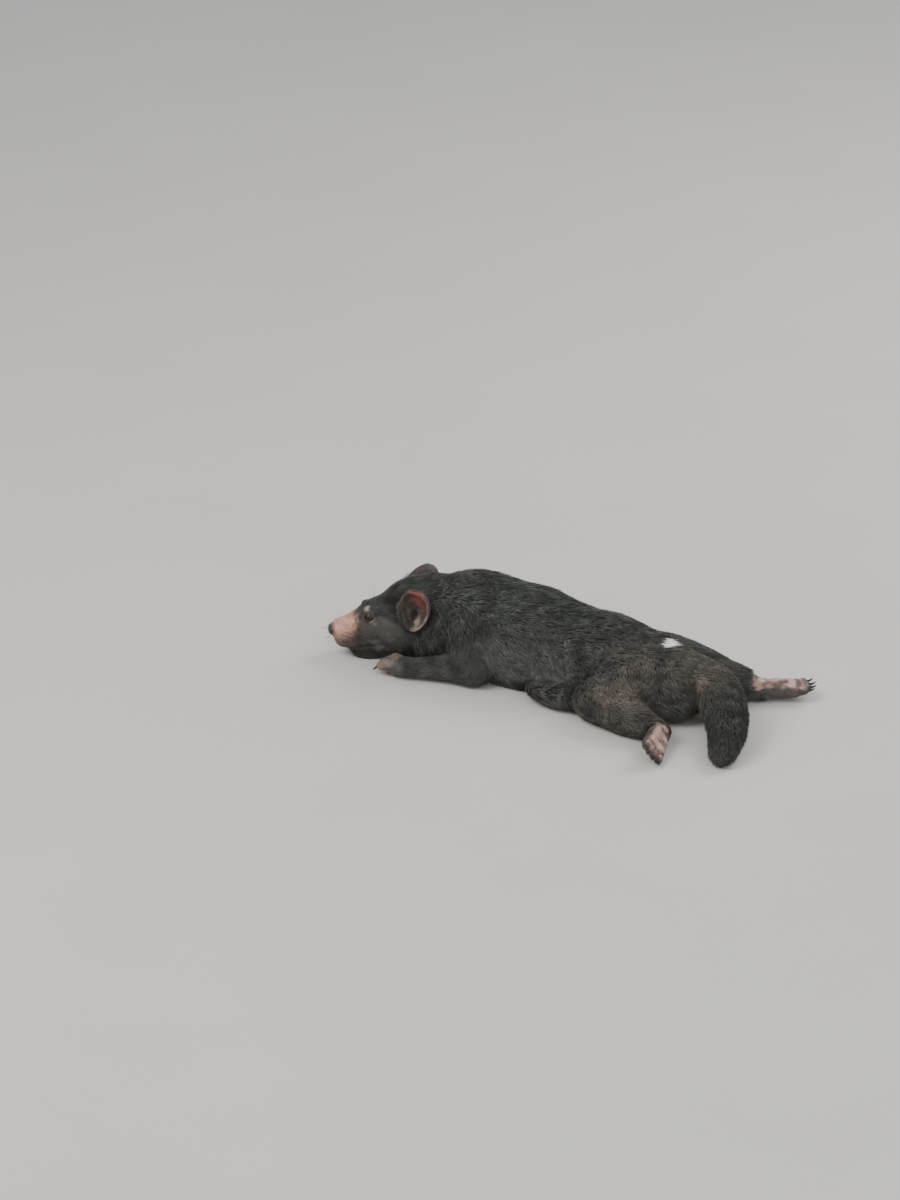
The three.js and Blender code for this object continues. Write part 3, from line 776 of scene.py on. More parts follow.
def paw_masks(points):
    """The backs of the paws, their soles and the pads; the hind toes have dark tips."""
    masks = {name: np.zeros(len(points)) for name in ("paw", "sole", "pad")}
    for paw, axes in PAW_AXES.items():
        ahead, across, up = in_axes(points, axes)
        size = PAWS[paw[0]]
        hind = paw[0] == "hind"
        inside = (np.abs(across) < size["width"] * 0.8) & (np.abs(up) < 30) & (ahead < size["length"] + 12)
        start = BARE_FROM[paw]
        reach = ease(ahead, start, start + 14) * inside
        tips = 1 - 0.75 * ease(ahead, size["length"] - 19, size["length"] - 8) * hind
        facing = -(body().grid.slope(points) @ axes.top)
        low = 0.5 - 0.45 * (1 - ease(ahead, -6, 14))
        places = [centre for group, centre in body().pads if group == paw]
        away = np.min([np.linalg.norm(points - centre, axis=1) for centre in places], axis=0)
        by_pad = 1 - ease(away, 4.5, 8.5)
        found = {
            "paw": reach * (0.42 * tips if hind else 1),
            "sole": reach * tips * ease(facing, low, low + 0.4) * (1 if hind else 0.6),
            "pad": inside * tips * ease(facing, 0.1, 0.6) * by_pad * (1 if hind else 0.4),
        }
        masks = {name: np.maximum(masks[name], found[name]) for name in masks}
    return masks


MASKS = ["muzzle", "jowl", "thin", "lip", "lid", "brow", "ear", "ear_inner", "rim", "lobe", "fringe"]
MASKS += ["paw", "sole", "pad"]


def nearest(points, targets, limit):
    """Distance from each point to the nearest target, up to a limit."""
    tree = KDTree(len(targets))
    for i, target in enumerate(targets):
        tree.insert(target, i)
    tree.balance()
    away = np.full(len(points), float(limit))
    low, high = targets.min(axis=0) - limit, targets.max(axis=0) + limit
    for i in np.nonzero(np.all((points > low) & (points < high), axis=1))[0]:
        away[i] = min(limit, tree.find(points[i])[2])
    return away


# Parts of the legs for the hair: both ends, both radii and how far the hair droops
LEG_HAIR = {
    "thigh": ("hip", "knee", 42, 32, 0.3),
    "shank": ("knee", "heel", 28, 17, 0.15),
    "upper_arm": ("shoulder", "elbow", 38, 27, 0.4),
    "forearm": ("elbow", "wrist", 23, 18, 0.15),
}


def leg_bar(limb, part):
    start, end, first, last, _ = LEG_HAIR[part]
    return Bar(limb[start], limb[end], first, last)


def paw_bar(axes, kind, start):
    return Bar(axes.at(start, 0, 0), axes.at(PAWS[kind]["length"], 0, 0), 16, 14)


# The way the hair lies: along the spine, down the flanks and legs, and to the tip of the tail
def streams():
    """Groups of shapes, each with the direction of its hair and how far that droops on steep skin."""
    made = [([flesh.outer for flesh in trunk_shapes()], vec(1, 0, 0), 0.55)]
    made.append(([flesh.outer for flesh in head_shapes()], -HEAD.ahead - UP * 0.1, 0.35))
    for limb in LIMBS.values():
        for part, (start, end, _, _, droop) in LEG_HAIR.items():
            way = unit(limb[end] - limb[start])
            if part == "thigh":
                way = unit(way * 0.35 + unit(limb["heel"] - limb["hip"]) * 0.65)
            made.append(([leg_bar(limb, part)], way, droop))
    for (kind, _), axes in PAW_AXES.items():
        made.append(([paw_bar(axes, kind, -4)], axes.ahead, 0))
    for bar in tail_curve(TAIL_COAT):
        made.append(([bar], unit(bar.axis), 0))
    return made


def ripple(points, size, seed):
    """A smooth noise from -1 to 1 with bumps of about a size."""
    draw = np.random.default_rng(seed)
    total = 0
    for _ in range(7):
        way = unit(draw.normal(size=3)) * (2 * math.pi / size) * draw.uniform(0.6, 1.4)
        total = total + np.sin(points @ way + draw.uniform(0, 2 * math.pi))
    return np.clip(total / 3.2, -1, 1)


def lie_of_coat(points, normals):
    """Unit directions along the skin in which the hair lies."""
    total = np.zeros_like(points)
    steep = 1 - normals[:, 2] ** 2
    for shapes, way, droop in streams():
        weight = np.exp(-np.clip(spread_over(points, shapes), -12, 200) / 7)
        total += weight[:, None] * (way - UP * (droop * steep)[:, None])
    return along_skin(total, normals)


def along_skin(directions, normals):
    """Unit directions without their part that leaves the skin."""
    flat = directions - normals * np.sum(directions * normals, axis=1, keepdims=True)
    return flat / np.maximum(np.linalg.norm(flat, axis=1, keepdims=True), 1e-6)


def lie_on_ear(points, normals):
    """From the root of the ear towards its rim, and over the opening from its front edge."""
    total = np.zeros_like(points)
    for side, axes in body().ears.items():
        _, left, up = in_axes(points, axes)
        mine = np.linalg.norm(points - axes.origin, axis=1) < 75
        way = left[:, None] * axes.left + (up + 8)[:, None] * axes.top
        front = ((-left * side > 6) & (normals @ axes.ahead > 0.2))[:, None]
        way = np.where(front, axes.left * side * 20 + axes.top * 14, way)
        total[mine] = way[mine]
    return along_skin(total, normals)


def turned(directions, normals, angles):
    across = np.cross(normals, directions)
    return directions * np.cos(angles)[:, None] + across * np.sin(angles)[:, None]


# The regions of the coat: width of a tuft, layers of hair, steepness in degrees and least length
REGIONS = {
    "head": (0.75, 3.8, 18, 3.8),
    "trunk": (1.25, 4.8, 20, 6),
    "foreleg": (1.0, 3.8, 19, 5),
    "hindleg": (1.15, 4.4, 19, 5),
    "tail": (1.25, 8.0, 22, 8),
    "paw": (0.62, 2.6, 13, 5),
    "ear": (0.5, 3.0, 13, 5.5),
}
EAR_REGION = list(REGIONS).index("ear")
BENT = ("trunk", "hindleg", "tail")

LONGEST_TUFT = 40
PIECE_TRIANGLES = 198000


def region_of(points):
    """The region of each point, as an index in REGIONS."""
    groups = {name: [] for name in REGIONS if name != "ear"}
    groups["head"] = [flesh.outer for flesh in head_shapes()]
    groups["trunk"] = [flesh.outer for flesh in trunk_shapes()]
    groups["tail"] = tail_curve(TAIL_COAT)
    for limb in LIMBS.values():
        groups["hindleg"] += [leg_bar(limb, "thigh"), leg_bar(limb, "shank")]
        groups["foreleg"] += [Bar(limb["shoulder"], limb["elbow"], 36, 27), leg_bar(limb, "forearm")]
    for (kind, _), axes in PAW_AXES.items():
        groups["paw"].append(paw_bar(axes, kind, 6))
    return np.argmin([spread_over(points, shapes) for shapes in groups.values()], axis=0)


# Shares of a tuft: what it covers of its width by length, its height half way along, its width at
# the root, and the height of its ridge over half its width
TUFT = {"cover": 0.62, "arch": 0.66, "root": 0.7, "ridge": 0.62}
TUFT_POINTS = 7


def sample_roots(skin, coverage, draw):
    """Roots of the tufts on the skin, close where the hair is fine and short."""
    mesh = skin.data
    points = layout_points(mesh)
    mesh.calc_loop_triangles()
    corners = np.empty(len(mesh.loop_triangles) * 3, dtype=np.int32)
    mesh.loop_triangles.foreach_get("vertices", corners)
    corners = corners.reshape(-1, 3)
    a, b, c = (points[corners[:, i]] for i in range(3))
    cross = np.cross(b - a, c - a)
    area = np.linalg.norm(cross, axis=1) / 2
    middle = (a + b + c) / 3
    masks = {name: values[corners].mean(axis=1) for name, values in skin_masks(mesh).items()}
    naked = np.maximum(masks["muzzle"] * 1.1, masks["thin"] * 0.85)
    naked = naked + masks["lid"] * 1.3 + masks["jowl"] * 0.35
    # The brow mask, a painted highlight above the left eye, is left nearly without hair
    naked += masks["lip"] * 1.2 + masks["brow"] * 0.8
    naked += masks["ear_inner"] * 0.85 + masks["lobe"] * 1.1 + masks["rim"] * 0.6 + masks["sole"] * 1.2
    region = np.where(masks["ear"] > 0.5, EAR_REGION, region_of(middle))
    width, layers, steep, shortest = np.array(list(REGIONS.values()))[region].T
    length = tuft_length(coat_depth(middle), steep, shortest)
    hidden = ease(-cross[:, 2] / np.maximum(2 * area, 1e-9), 0.3, 0.8) * (1 - ease(middle[:, 2], 4, 14))
    density = coverage * layers / (width * length * TUFT["cover"])
    chance = area * (density * np.clip(1 - naked, 0, 1) * (1 - 0.85 * hidden))
    count = int(chance.sum())
    picked = np.searchsorted(np.cumsum(chance), draw.uniform(0, chance.sum(), count))
    picked = np.minimum(picked, len(chance) - 1)
    s, t = np.sqrt(draw.uniform(size=count)), draw.uniform(size=count)
    roots = a[picked] * (1 - s)[:, None] + b[picked] * (s * (1 - t))[:, None] + c[picked] * (s * t)[:, None]
    return roots, region[picked], masks["fringe"][picked]


def coat_depth(points):
    return np.maximum(-body().grid.sample(points, 0), 0.25)


def tuft_length(depth, steep, shortest):
    return np.clip(depth / np.sin(np.radians(steep)), shortest, LONGEST_TUFT)


def skin_masks(mesh):
    masks = {}
    for name in MASKS:
        values = np.empty(len(mesh.vertices), dtype=np.float32)
        mesh.attributes[name].data.foreach_get("value", values)
        masks[name] = values
    return masks


def grow_tufts(roots, region, fringe, draw):
    """Points of the tufts, seven for each, and the tint of each tuft."""
    grid = body().grid
    count = len(roots)
    width, _, steep, shortest = np.array(list(REGIONS.values()))[region].T
    normal = grid.slope(roots)
    on_ear = region == EAR_REGION
    depth = coat_depth(roots)
    depth[on_ear] = 0.5
    lie = lie_of_coat(roots, normal)
    lie[on_ear] = lie_on_ear(roots[on_ear], normal[on_ear])
    on_tail = ease(roots[:, 0], 215, 250)
    swirl = 0.2 * ripple(roots, 70, 3) * (1 - on_tail) + 0.2 * ripple(roots, 17, 5) * (1 - 0.6 * on_tail)
    lie = turned(lie, normal, swirl + draw.normal(0, 0.14, count))
    length = tuft_length(depth, steep, shortest) * draw.uniform(0.72, 1.2, count)
    length[on_ear] *= 1 + 1.3 * fringe[on_ear]
    height = depth * (0.84 + 0.14 * ripple(roots, 24, 9) + draw.uniform(-0.13, 0.24, count))
    height = np.maximum(height, 0.18 * length * draw.uniform(0.7, 1.3, count))
    width = width * draw.uniform(0.7, 1.3, count) * np.clip(length / 9, 0.6, 1.2)

    def over_skin(points, level):
        up = grid.slope(points)
        lifted = points + up * (level - grid.sample(points))[:, None]
        lifted[:, 2] = np.maximum(lifted[:, 2], FLOOR_GAP["hair"])
        return lifted, up

    middle, middle_up = over_skin(roots + lie * (length * 0.5)[:, None], height * TUFT["arch"])
    tip, _ = over_skin(roots + lie * length[:, None], height)
    base = roots - normal * 0.5
    points = np.empty((count, TUFT_POINTS, 3))
    for first, centre, up, share in ((0, base, normal, TUFT["root"]), (3, middle, middle_up, 1.0)):
        across = np.cross(up, lie)
        across /= np.maximum(np.linalg.norm(across, axis=1, keepdims=True), 1e-6)
        half = (width * share / 2)[:, None]
        points[:, first] = centre - across * half
        points[:, first + 1] = centre + across * half
        points[:, first + 2] = centre + up * half * TUFT["ridge"]
    points[:, 6] = tip
    points[:, :, 2] = np.maximum(points[:, :, 2], FLOOR_GAP["root"])
    tint = np.clip(0.5 + 0.22 * ripple(roots, 30, 12) + draw.normal(0, 0.2, count), 0, 1)
    return points, tint


# A bent tuft has a ring half way to its tip; a straight one has only its root and its tip
BENT_SIDES = [(0, 1, 4), (0, 4, 3), (1, 2, 5), (1, 5, 4), (2, 0, 3), (2, 3, 5)]
BENT_FACES = np.array([(0, 2, 1), *BENT_SIDES, (3, 4, 6), (4, 5, 6), (5, 3, 6)])
BENT_ALONG = np.array((0, 0, 0, 0.5, 0.5, 0.5, 1.0))
BENT_PATCH = np.array([(0, 0), (1, 0), (0.5, 0.15), (0.1, 0.6), (0.9, 0.6), (0.5, 0.7), (0.5, 1)])
STRAIGHT = (0, 1, 2, 6)
STRAIGHT_FACES = np.array([(0, 2, 1), (0, 1, 3), (1, 2, 3), (2, 0, 3)])


def chart_of(points):
    """A place on an unwrap of the skin, from the distance along each part and the way round it."""
    muzzle, nape, rump = HEAD.at(130, 0, -20), vec(-200, 44, 60), vec(240, 25, 50)
    parts = [(muzzle, nape, 45), (nape, rump, 70)]
    for limb in LIMBS.values():
        parts += [(limb["hip"], limb["heel"], 20), (limb["shoulder"], limb["wrist"], 20)]
    parts += [(TAIL[0], TAIL[2], 20), (TAIL[2], TAIL[4], 20)]
    chosen = np.argmin([spread_over(points, [Bar(a, b, radius, radius)]) for a, b, radius in parts], axis=0)
    place = np.zeros((len(points), 2))
    cells = math.ceil(math.sqrt(len(parts) + 1))
    cell = 1 / cells
    past_end = 60
    border = 0.03
    for i, (a, b, _) in enumerate(parts):
        mine = chosen == i
        ahead, left, up = in_axes(points[mine], Axes(a, b - a, UP))
        along = np.clip((ahead + past_end) / (np.linalg.norm(b - a) + 2 * past_end), 0, 1)
        around = np.arctan2(left, up) / (2 * math.pi) + 0.5
        place[mine, 0] = (i % cells + border + (1 - 2 * border) * along) * cell
        place[mine, 1] = (i // cells + border + (1 - 2 * border) * around) * cell
    return place


def tuft_piece(name, points, roots, tint, bent):
    corners = list(range(TUFT_POINTS)) if bent else list(STRAIGHT)
    pattern = BENT_FACES if bent else STRAIGHT_FACES
    count, size = len(roots), len(corners)
    faces = (pattern[None] + (np.arange(count) * size)[:, None, None]).reshape(-1, 3)
    attributes = {
        "root": np.repeat(to_frame(roots), size, axis=0),
        "tint": np.repeat(tint, size),
        "along": np.tile(BENT_ALONG[corners], count),
    }
    made = new_object(name, points[:, corners].reshape(-1, 3), faces, attributes)
    spots = np.clip(chart_of(roots), 0, 0.996)[:, None] + 0.003 * BENT_PATCH[corners][None]
    layer = made.data.uv_layers.new(name="OFBake")
    layer.data.foreach_set("uv", spots.reshape(-1, 2)[faces.ravel()].astype(np.float32).ravel())
    return made


# Materials
class Tree:
    """Short calls for making and linking the nodes of a material or a node group."""

    def __init__(self, tree):
        self.tree = tree
        self.column = 0

    def add(self, kind, inputs=None, **settings):
        node = self.tree.nodes.new(kind)
        node.location = (self.column * 180, -(self.column % 5) * 140)
        self.column += 1
        for key, value in settings.items():
            setattr(node, key, value)
        for key, value in (inputs or {}).items():
            self.put(node.inputs[key], value)
        return node

    def put(self, socket, value):
        if isinstance(value, bpy.types.NodeSocket):
            self.tree.links.new(value, socket)
        else:
            socket.default_value = value

    def math(self, operation, *values, clamp=False):
        node = self.add("ShaderNodeMath", operation=operation, use_clamp=clamp)
        for socket, value in zip(node.inputs, values):
            self.put(socket, value)
        return node.outputs[0]

    def vector(self, operation, *values):
        node = self.add("ShaderNodeVectorMath", operation=operation)
        for socket, value in zip(node.inputs, values):
            self.put(socket, value)
        return node.outputs["Value" if operation in ("LENGTH", "DOT_PRODUCT", "DISTANCE") else "Vector"]

    def noise(self, vector, scale, detail=2.0, roughness=0.5):
        inputs = {"Vector": vector, "Scale": scale, "Detail": detail, "Roughness": roughness}
        return self.add("ShaderNodeTexNoise", inputs).outputs["Fac"]

    def fade(self, value, low, high, start=0.0, end=1.0):
        inputs = {"Value": value, "From Min": low, "From Max": high, "To Min": start, "To Max": end}
        return self.add("ShaderNodeMapRange", inputs, interpolation_type="SMOOTHSTEP").outputs["Result"]

    def mix(self, factor, first, second, blend="MIX"):
        node = self.add("ShaderNodeMix", data_type="RGBA", blend_type=blend)
        for key, value in (("Factor", factor), (6, first), (7, second)):
            self.put(node.inputs[key], value)
        return node.outputs[2]

    def attribute(self, name, output="Fac"):
        return self.add("ShaderNodeAttribute", attribute_name=name).outputs[output]

    def bump(self, height, strength, distance):
        inputs = {"Height": height, "Strength": strength, "Distance": distance}
        return self.add("ShaderNodeBump", inputs).outputs[0]

    def object_place(self):
        return self.add("ShaderNodeTexCoord").outputs["Object"]


def colour(value):
    """An sRGB colour from 0 to 255 as a linear RGBA value."""
    linear = [((c / 255 + 0.055) / 1.055) ** 2.4 if c > 10 else c / 255 / 12.92 for c in value]
    return (*linear, 1.0)


def tone(value):
    """A linear colour from an sRGB one, or from the name of one of the colour settings."""
    return tuple(getattr(bpy.context.scene.devil_colours, value)) if isinstance(value, str) else colour(value)


def group_tree(name, inputs, outputs):
    tree = bpy.data.node_groups.new(name, "ShaderNodeTree")
    for label, kind in inputs:
        tree.interface.new_socket(label, in_out="INPUT", socket_type=kind)
    for label, kind in outputs:
        tree.interface.new_socket(label, in_out="OUTPUT", socket_type=kind)
    t = Tree(tree)
    return t, t.add("NodeGroupInput").outputs, t.add("NodeGroupOutput").inputs


# Spots of the coat: middle and radii in the layout's millimetres, strength and tone
BROWN_SPOTS = [
    (vec(142, -82, 66), (44, 26, 24), 0.9),
    (vec(120, -16, 96), (42, 32, 24), 0.4),
    (vec(150, -40, 80), (30, 26, 26), 0.3),
]
# A painted pool of light on the left flank, which these lamps leave in shade: middle, radii, strength and
# tone
FLANK_PAINTED_LIGHT = (vec(-70, -45, 62), (110, 40, 34), 0.45, (130, 132, 126))
TAIL_ROOT_SPOT = (vec(238, -8, 80), (9, 15, 22), 0.7, (148, 134, 120))
CHEEK_SPOTS = [(HEAD.at(58, 36 * side, -20), (42, 28, 30), 0.7, (146, 144, 136)) for side in (1, -1)]
MUZZLE_SPOT = (HEAD.at(106, 0, -6), (24, 40, 34), 1.0, (104, 88, 78))
WHISKER_BEDS = [(HEAD.at(84, 27 * side, 4), (10, 10, 12), 0.6, (140, 128, 116)) for side in (1, -1)]
EAR_STREAKS = [(HEAD.at(24, 55 * side, -28), (10, 10, 12), 0.6, (140, 128, 116)) for side in (1, -1)]
WHITE_PATCH = (vec(154, 47, 99), (12, 17.5, 18))


def spot(t, vector, centre, radii, wobble, soft=0.35):
    """One inside an ellipsoid round a place of the layout, with a ragged edge."""
    away = t.vector("SUBTRACT", vector, tuple(to_frame(centre)))
    scaled = t.vector("DIVIDE", away, tuple(r * MM for r in radii))
    size = t.math("ADD", t.vector("LENGTH", scaled), wobble)
    return t.fade(size, 0.98 + soft / 2, 0.98 - soft / 2)


def tinted(t, vector, hair, place, ragged):
    """The hair's colour with one of the spots laid over it."""
    centre, radii, strength, over = place
    patch = t.math("MULTIPLY", spot(t, vector, centre, radii, ragged), strength)
    return t.mix(patch, hair, tone(over))


def markings_group():
    """Colours of the hair by its place on the body, with painted light on the left flank, for the coat and
    the skin under it.
    """
    outputs = [("Coat", "NodeSocketColor"), ("White", "NodeSocketFloat")]
    t, given, out = group_tree("DevilMarkings", [("Vector", "NodeSocketVector")], outputs)
    vector = given["Vector"]
    broad = t.noise(vector, 9.0, 3.0)
    fine = t.noise(vector, 60.0, 3.0, 0.6)
    hair = t.mix(t.fade(fine, 0.35, 0.7), tone("coat_dark"), tone("coat_light"))
    ragged = t.math("MULTIPLY_ADD", t.noise(vector, 45.0, 3.0, 0.7), 1.1, -0.55)
    mottle = t.fade(fine, 0.3, 0.6, 0.35, 1.0)
    for centre, radii, strength in BROWN_SPOTS:
        patch = t.math("MULTIPLY", spot(t, vector, centre, radii, ragged), strength)
        hair = t.mix(t.math("MULTIPLY", patch, mottle), hair, tone("coat_brown"))
    # Painted light lifts the shaded left flank
    hair = tinted(t, vector, hair, FLANK_PAINTED_LIGHT, ragged)
    length = t.add("ShaderNodeSeparateXYZ", {"Vector": vector}).outputs["X"]
    rear = t.math("MULTIPLY", t.fade(length, 0.0, 0.2), t.fade(length, 0.31, 0.26))
    hair = t.mix(t.math("MULTIPLY", rear, t.fade(broad, 0.4, 0.7, 0.0, 0.4)), hair, tone("coat_brown"))
    for place in (TAIL_ROOT_SPOT, *CHEEK_SPOTS, MUZZLE_SPOT, *WHISKER_BEDS, *EAR_STREAKS):
        hair = tinted(t, vector, hair, place, ragged)
    sharp = t.math("MULTIPLY_ADD", t.noise(vector, 90.0, 3.0, 0.7), 0.3, -0.15)
    white = spot(t, vector, *WHITE_PATCH, sharp, 0.12)
    t.put(out["Coat"], t.mix(white, hair, tone("coat_white")))
    t.put(out["White"], white)
    return t.tree


def pores_group():
    """Fine creases and pores of bare skin."""
    t, given, out = group_tree("BareSkin", [("Vector", "NodeSocketVector")], [("Height", "NodeSocketFloat")])
    vector = given["Vector"]
    cells = t.add("ShaderNodeTexVoronoi", {"Vector": vector, "Scale": 900.0}, feature="DISTANCE_TO_EDGE")
    grain = t.fade(cells.outputs["Distance"], 0.0, 0.18)
    creases = t.noise(vector, 160.0, 4.0, 0.6)
    height = t.math("ADD", t.math("MULTIPLY", grain, 0.4), t.math("MULTIPLY", creases, 0.9))
    t.put(out["Height"], height)
    return t.tree


def shared(name, make):
    return bpy.data.node_groups.get(name) or make()


def new_material(name, finish):
    """A material with one shader, whose plain inputs are set by their names."""
    material = bpy.data.materials.new(name)
    material.use_nodes = True
    material.node_tree.nodes.clear()
    t = Tree(material.node_tree)
    output = t.add("ShaderNodeOutputMaterial")
    shader = t.add("ShaderNodeBsdfPrincipled")
    t.put(output.inputs["Surface"], shader.outputs["BSDF"])
    for key, value in finish.items():
        t.put(shader.inputs[key], value)
    return material, t, shader.inputs


def group_node(t, tree, inputs):
    node = t.add("ShaderNodeGroup", node_tree=tree)
    for key, value in inputs.items():
        t.put(node.inputs[key], value)
    return node.outputs


def coat_material(name, paler):
    """Hair with the markings at its root, made paler on the thin ears, and the white patch painted brighter
    than white.
    """
    finish = {"Roughness": 0.62, "Specular IOR Level": 0.35, "Sheen Weight": 0.12, "Sheen Roughness": 0.4}
    material, t, shader = new_material(name, finish)
    root = t.attribute("root", "Vector")
    marks = group_node(t, shared("DevilMarkings", markings_group), {"Vector": root})
    hair = t.mix(paler, marks["Coat"], tone((124, 114, 106)))
    shade = t.math("MULTIPLY_ADD", t.attribute("tint"), 0.7, 0.62)
    tip = t.fade(t.attribute("along"), 0.35, 1.0, 0.8, 1.3)
    dark = t.math("SUBTRACT", 1.0, marks["White"])
    # The white patch is painted brighter than white, up to 1.45 times its tone, to outweigh the shade between
    # its tufts
    painted_white_light = t.math("MULTIPLY", marks["White"], 1.45)
    value = t.math("MULTIPLY_ADD", t.math("MULTIPLY", shade, tip), dark, painted_white_light)
    grey = t.add("ShaderNodeCombineColor", {"Red": value, "Green": value, "Blue": value}).outputs[0]
    t.put(shader["Base Color"], t.mix(1.0, hair, grey, "MULTIPLY"))
    return material


# Bare skin in the order it is painted: its mask, the tones of its blotches and its strength
BARE_TONES = [
    ("jowl", (104, 86, 74), (72, 60, 53), 0.9),
    ("thin", (112, 94, 84), (84, 70, 62), 0.7),
    ("muzzle", "muzzle", (176, 134, 118), 1.0),
    ("lip", (58, 42, 39), (76, 54, 50), 0.85),
    ("lid", (52, 40, 37), (84, 62, 58), 1.0),
    # Brow: a painted highlight above the left eye, and the pale corner of its lower lid
    ("brow", (216, 198, 188), (170, 144, 136), 0.85),
    ("ear", (92, 80, 74), (62, 52, 48), 1.0),
    ("ear_inner", "ear", (92, 54, 50), 1.0),
    ("rim", (158, 140, 130), (118, 100, 92), 0.9),
    ("lobe", (164, 140, 130), (108, 94, 84), 0.9),
    ("paw", "paw", (104, 86, 78), 0.9),
    ("sole", (94, 76, 66), (188, 152, 138), 1.0),
    ("pad", "sole", (196, 152, 142), 0.9),
]


def skin_material():
    """Dark skin under the hair, pale under the white patch, every bare place in its own tones, and a painted
    highlight above the left eye.
    """
    finish = {"Roughness": 0.55, "Subsurface Weight": 0.12, "Subsurface Scale": 1.0}
    material, t, shader = new_material("Skin", {**finish, "Subsurface Radius": (0.004, 0.0015, 0.001)})
    place = t.object_place()
    marks = group_node(t, shared("DevilMarkings", markings_group), {"Vector": place})
    pores = group_node(t, shared("BareSkin", pores_group), {"Vector": place})
    blotches = t.fade(t.noise(place, 70.0, 3.0, 0.6), 0.35, 0.7)
    stains = t.fade(t.noise(place, 38.0, 4.0, 0.65), 0.42, 0.62)
    shade = t.math("MULTIPLY_ADD", marks["White"], -0.6, 0.6)
    skin = t.mix(shade, marks["Coat"], tone((34, 31, 29)))
    for mask, first, second, strength in BARE_TONES:
        pattern = stains if mask == "sole" else blotches
        bare = t.mix(pattern, tone(first), tone(second))
        skin = t.mix(t.math("MULTIPLY", t.attribute(mask), strength), skin, bare)
    t.put(shader["Base Color"], skin)
    t.put(shader["Normal"], t.bump(pores["Height"], 0.5, 0.0006))
    return material


def nose_material():
    material, t, shader = new_material("Nose", {"Roughness": 0.32, "Coat Weight": 0.3})
    inputs = {"Vector": t.object_place(), "Scale": 650.0}
    cells = t.add("ShaderNodeTexVoronoi", inputs, feature="DISTANCE_TO_EDGE")
    pebble = t.fade(cells.outputs["Distance"], 0.0, 0.22)
    t.put(shader["Base Color"], t.mix(pebble, tone((30, 22, 20)), tone((66, 49, 44))))
    t.put(shader["Normal"], t.bump(pebble, 0.6, 0.0004))
    return material


def eye_material(name, centre, outward):
    """A wet eye with a fibrous iris round its pupil, and a dark edge towards the lids."""
    finish = {"Roughness": 0.12, "Specular IOR Level": 0.3, "Coat Weight": 0.6, "Coat Roughness": 0.03}
    material, t, shader = new_material(name, finish)
    place = t.object_place()
    away = t.vector("NORMALIZE", t.vector("SUBTRACT", place, tuple(to_frame(centre))))
    facing = t.vector("DOT_PRODUCT", away, tuple(outward))
    fibres = t.noise(place, 1400.0, 4.0, 0.7)
    iris = t.mix(fibres, tone((44, 26, 15)), tone((22, 13, 9)))
    eye = t.mix(t.fade(facing, 0.86, 0.89), iris, tone((4, 3, 3)))
    t.put(shader["Base Color"], t.mix(t.fade(facing, 0.66, 0.58), eye, tone((60, 38, 34))))
    return material


def claw_material():
    material, t, shader = new_material("Claw", {"Roughness": 0.38})
    streaks = t.noise(t.object_place(), 420.0, 4.0, 0.7)
    along = t.math("ADD", t.attribute("along"), t.math("MULTIPLY_ADD", streaks, 0.3, -0.15))
    t.put(shader["Base Color"], t.mix(t.fade(along, 0.25, 0.95), tone((40, 33, 30)), tone((96, 82, 70))))
    t.put(shader["Normal"], t.bump(streaks, 0.25, 0.0002))
    return material


def whisker_material():
    material, t, shader = new_material("Whisker", {"Roughness": 0.4})
    streaks = t.noise(t.object_place(), 40.0)
    t.put(shader["Base Color"], t.mix(streaks, tone((22, 20, 19)), tone((60, 54, 50))))
    return material


def floor_material():
    material, t, shader = new_material("PaleFloor", {"Roughness": 0.8})
    clouds = t.noise(t.object_place(), 3.0)
    t.put(shader["Base Color"], t.mix(clouds, tone((214, 211, 205)), tone((222, 219, 213))))
    return material


def dress(made, material, slot, *nodes):
    made.data.materials.clear()
    made.data.materials.append(material)
    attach(made, BODY)
    if nodes:
        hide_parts(*nodes)


# Settings
class DevilSizes(bpy.types.PropertyGroup):
    coverage: bpy.props.FloatProperty(
        name="Coverage",
        description="Share of the full number of tufts",
        default=1.0,
        min=0.1,
        max=1.3,
        subtype="FACTOR",
    )
    seed: bpy.props.IntProperty(name="Seed", description="Seed of the random draws of the coat", default=11)
    whisker_slimness: bpy.props.FloatProperty(
        name="Whisker slimness",
        description="Radius of a whisker's root as a share of its length",
        default=0.006,
    )
    whisker_bend: bpy.props.FloatProperty(
        name="Whisker bend",
        description="Drop of a whisker's tip as a share of its length",
        default=0.14,
    )
    skin_triangles: bpy.props.IntProperty(
        name="Skin triangles",
        description="Triangles of the skin after it is thinned out",
        default=184000,
    )


def colour_setting(label, what, value):
    return bpy.props.FloatVectorProperty(
        name=label, description=what, subtype="COLOR", size=4, default=colour(value), min=0, max=1
    )


class DevilColours(bpy.types.PropertyGroup):
    coat_dark: colour_setting("Coat, dark", "Darkest hair of the back", (60, 62, 58))
    coat_light: colour_setting("Coat, light", "Lightest hair of the back", (100, 102, 96))
    coat_brown: colour_setting("Coat, brown", "Hair of the hindquarters", (128, 116, 104))
    coat_white: colour_setting("Coat, white", "Hair of the rump's white patch", (250, 248, 242))
    muzzle: colour_setting("Muzzle", "Bare skin of the muzzle", (216, 166, 142))
    paw: colour_setting("Paw", "Bare skin of the paws' backs", (168, 142, 132))
    sole: colour_setting("Pads", "Pads of the feet", (214, 178, 168))
    ear: colour_setting("Ear", "Bare skin inside the top of the ears", (128, 70, 66))


# The nodes of the frame that the skin takes the place of
LEG_NODES = ("thigh", "shank", "upper_arm", "forearm", "forepaw", "hind_foot")
FLESH = ["head", "neck", "chest", "abdomen", "rump", "ear_left", "ear_right", "tail_base", "tail_brush"]
FLESH += [f"{part}_{side}" for part in LEG_NODES for side in LIMBS]


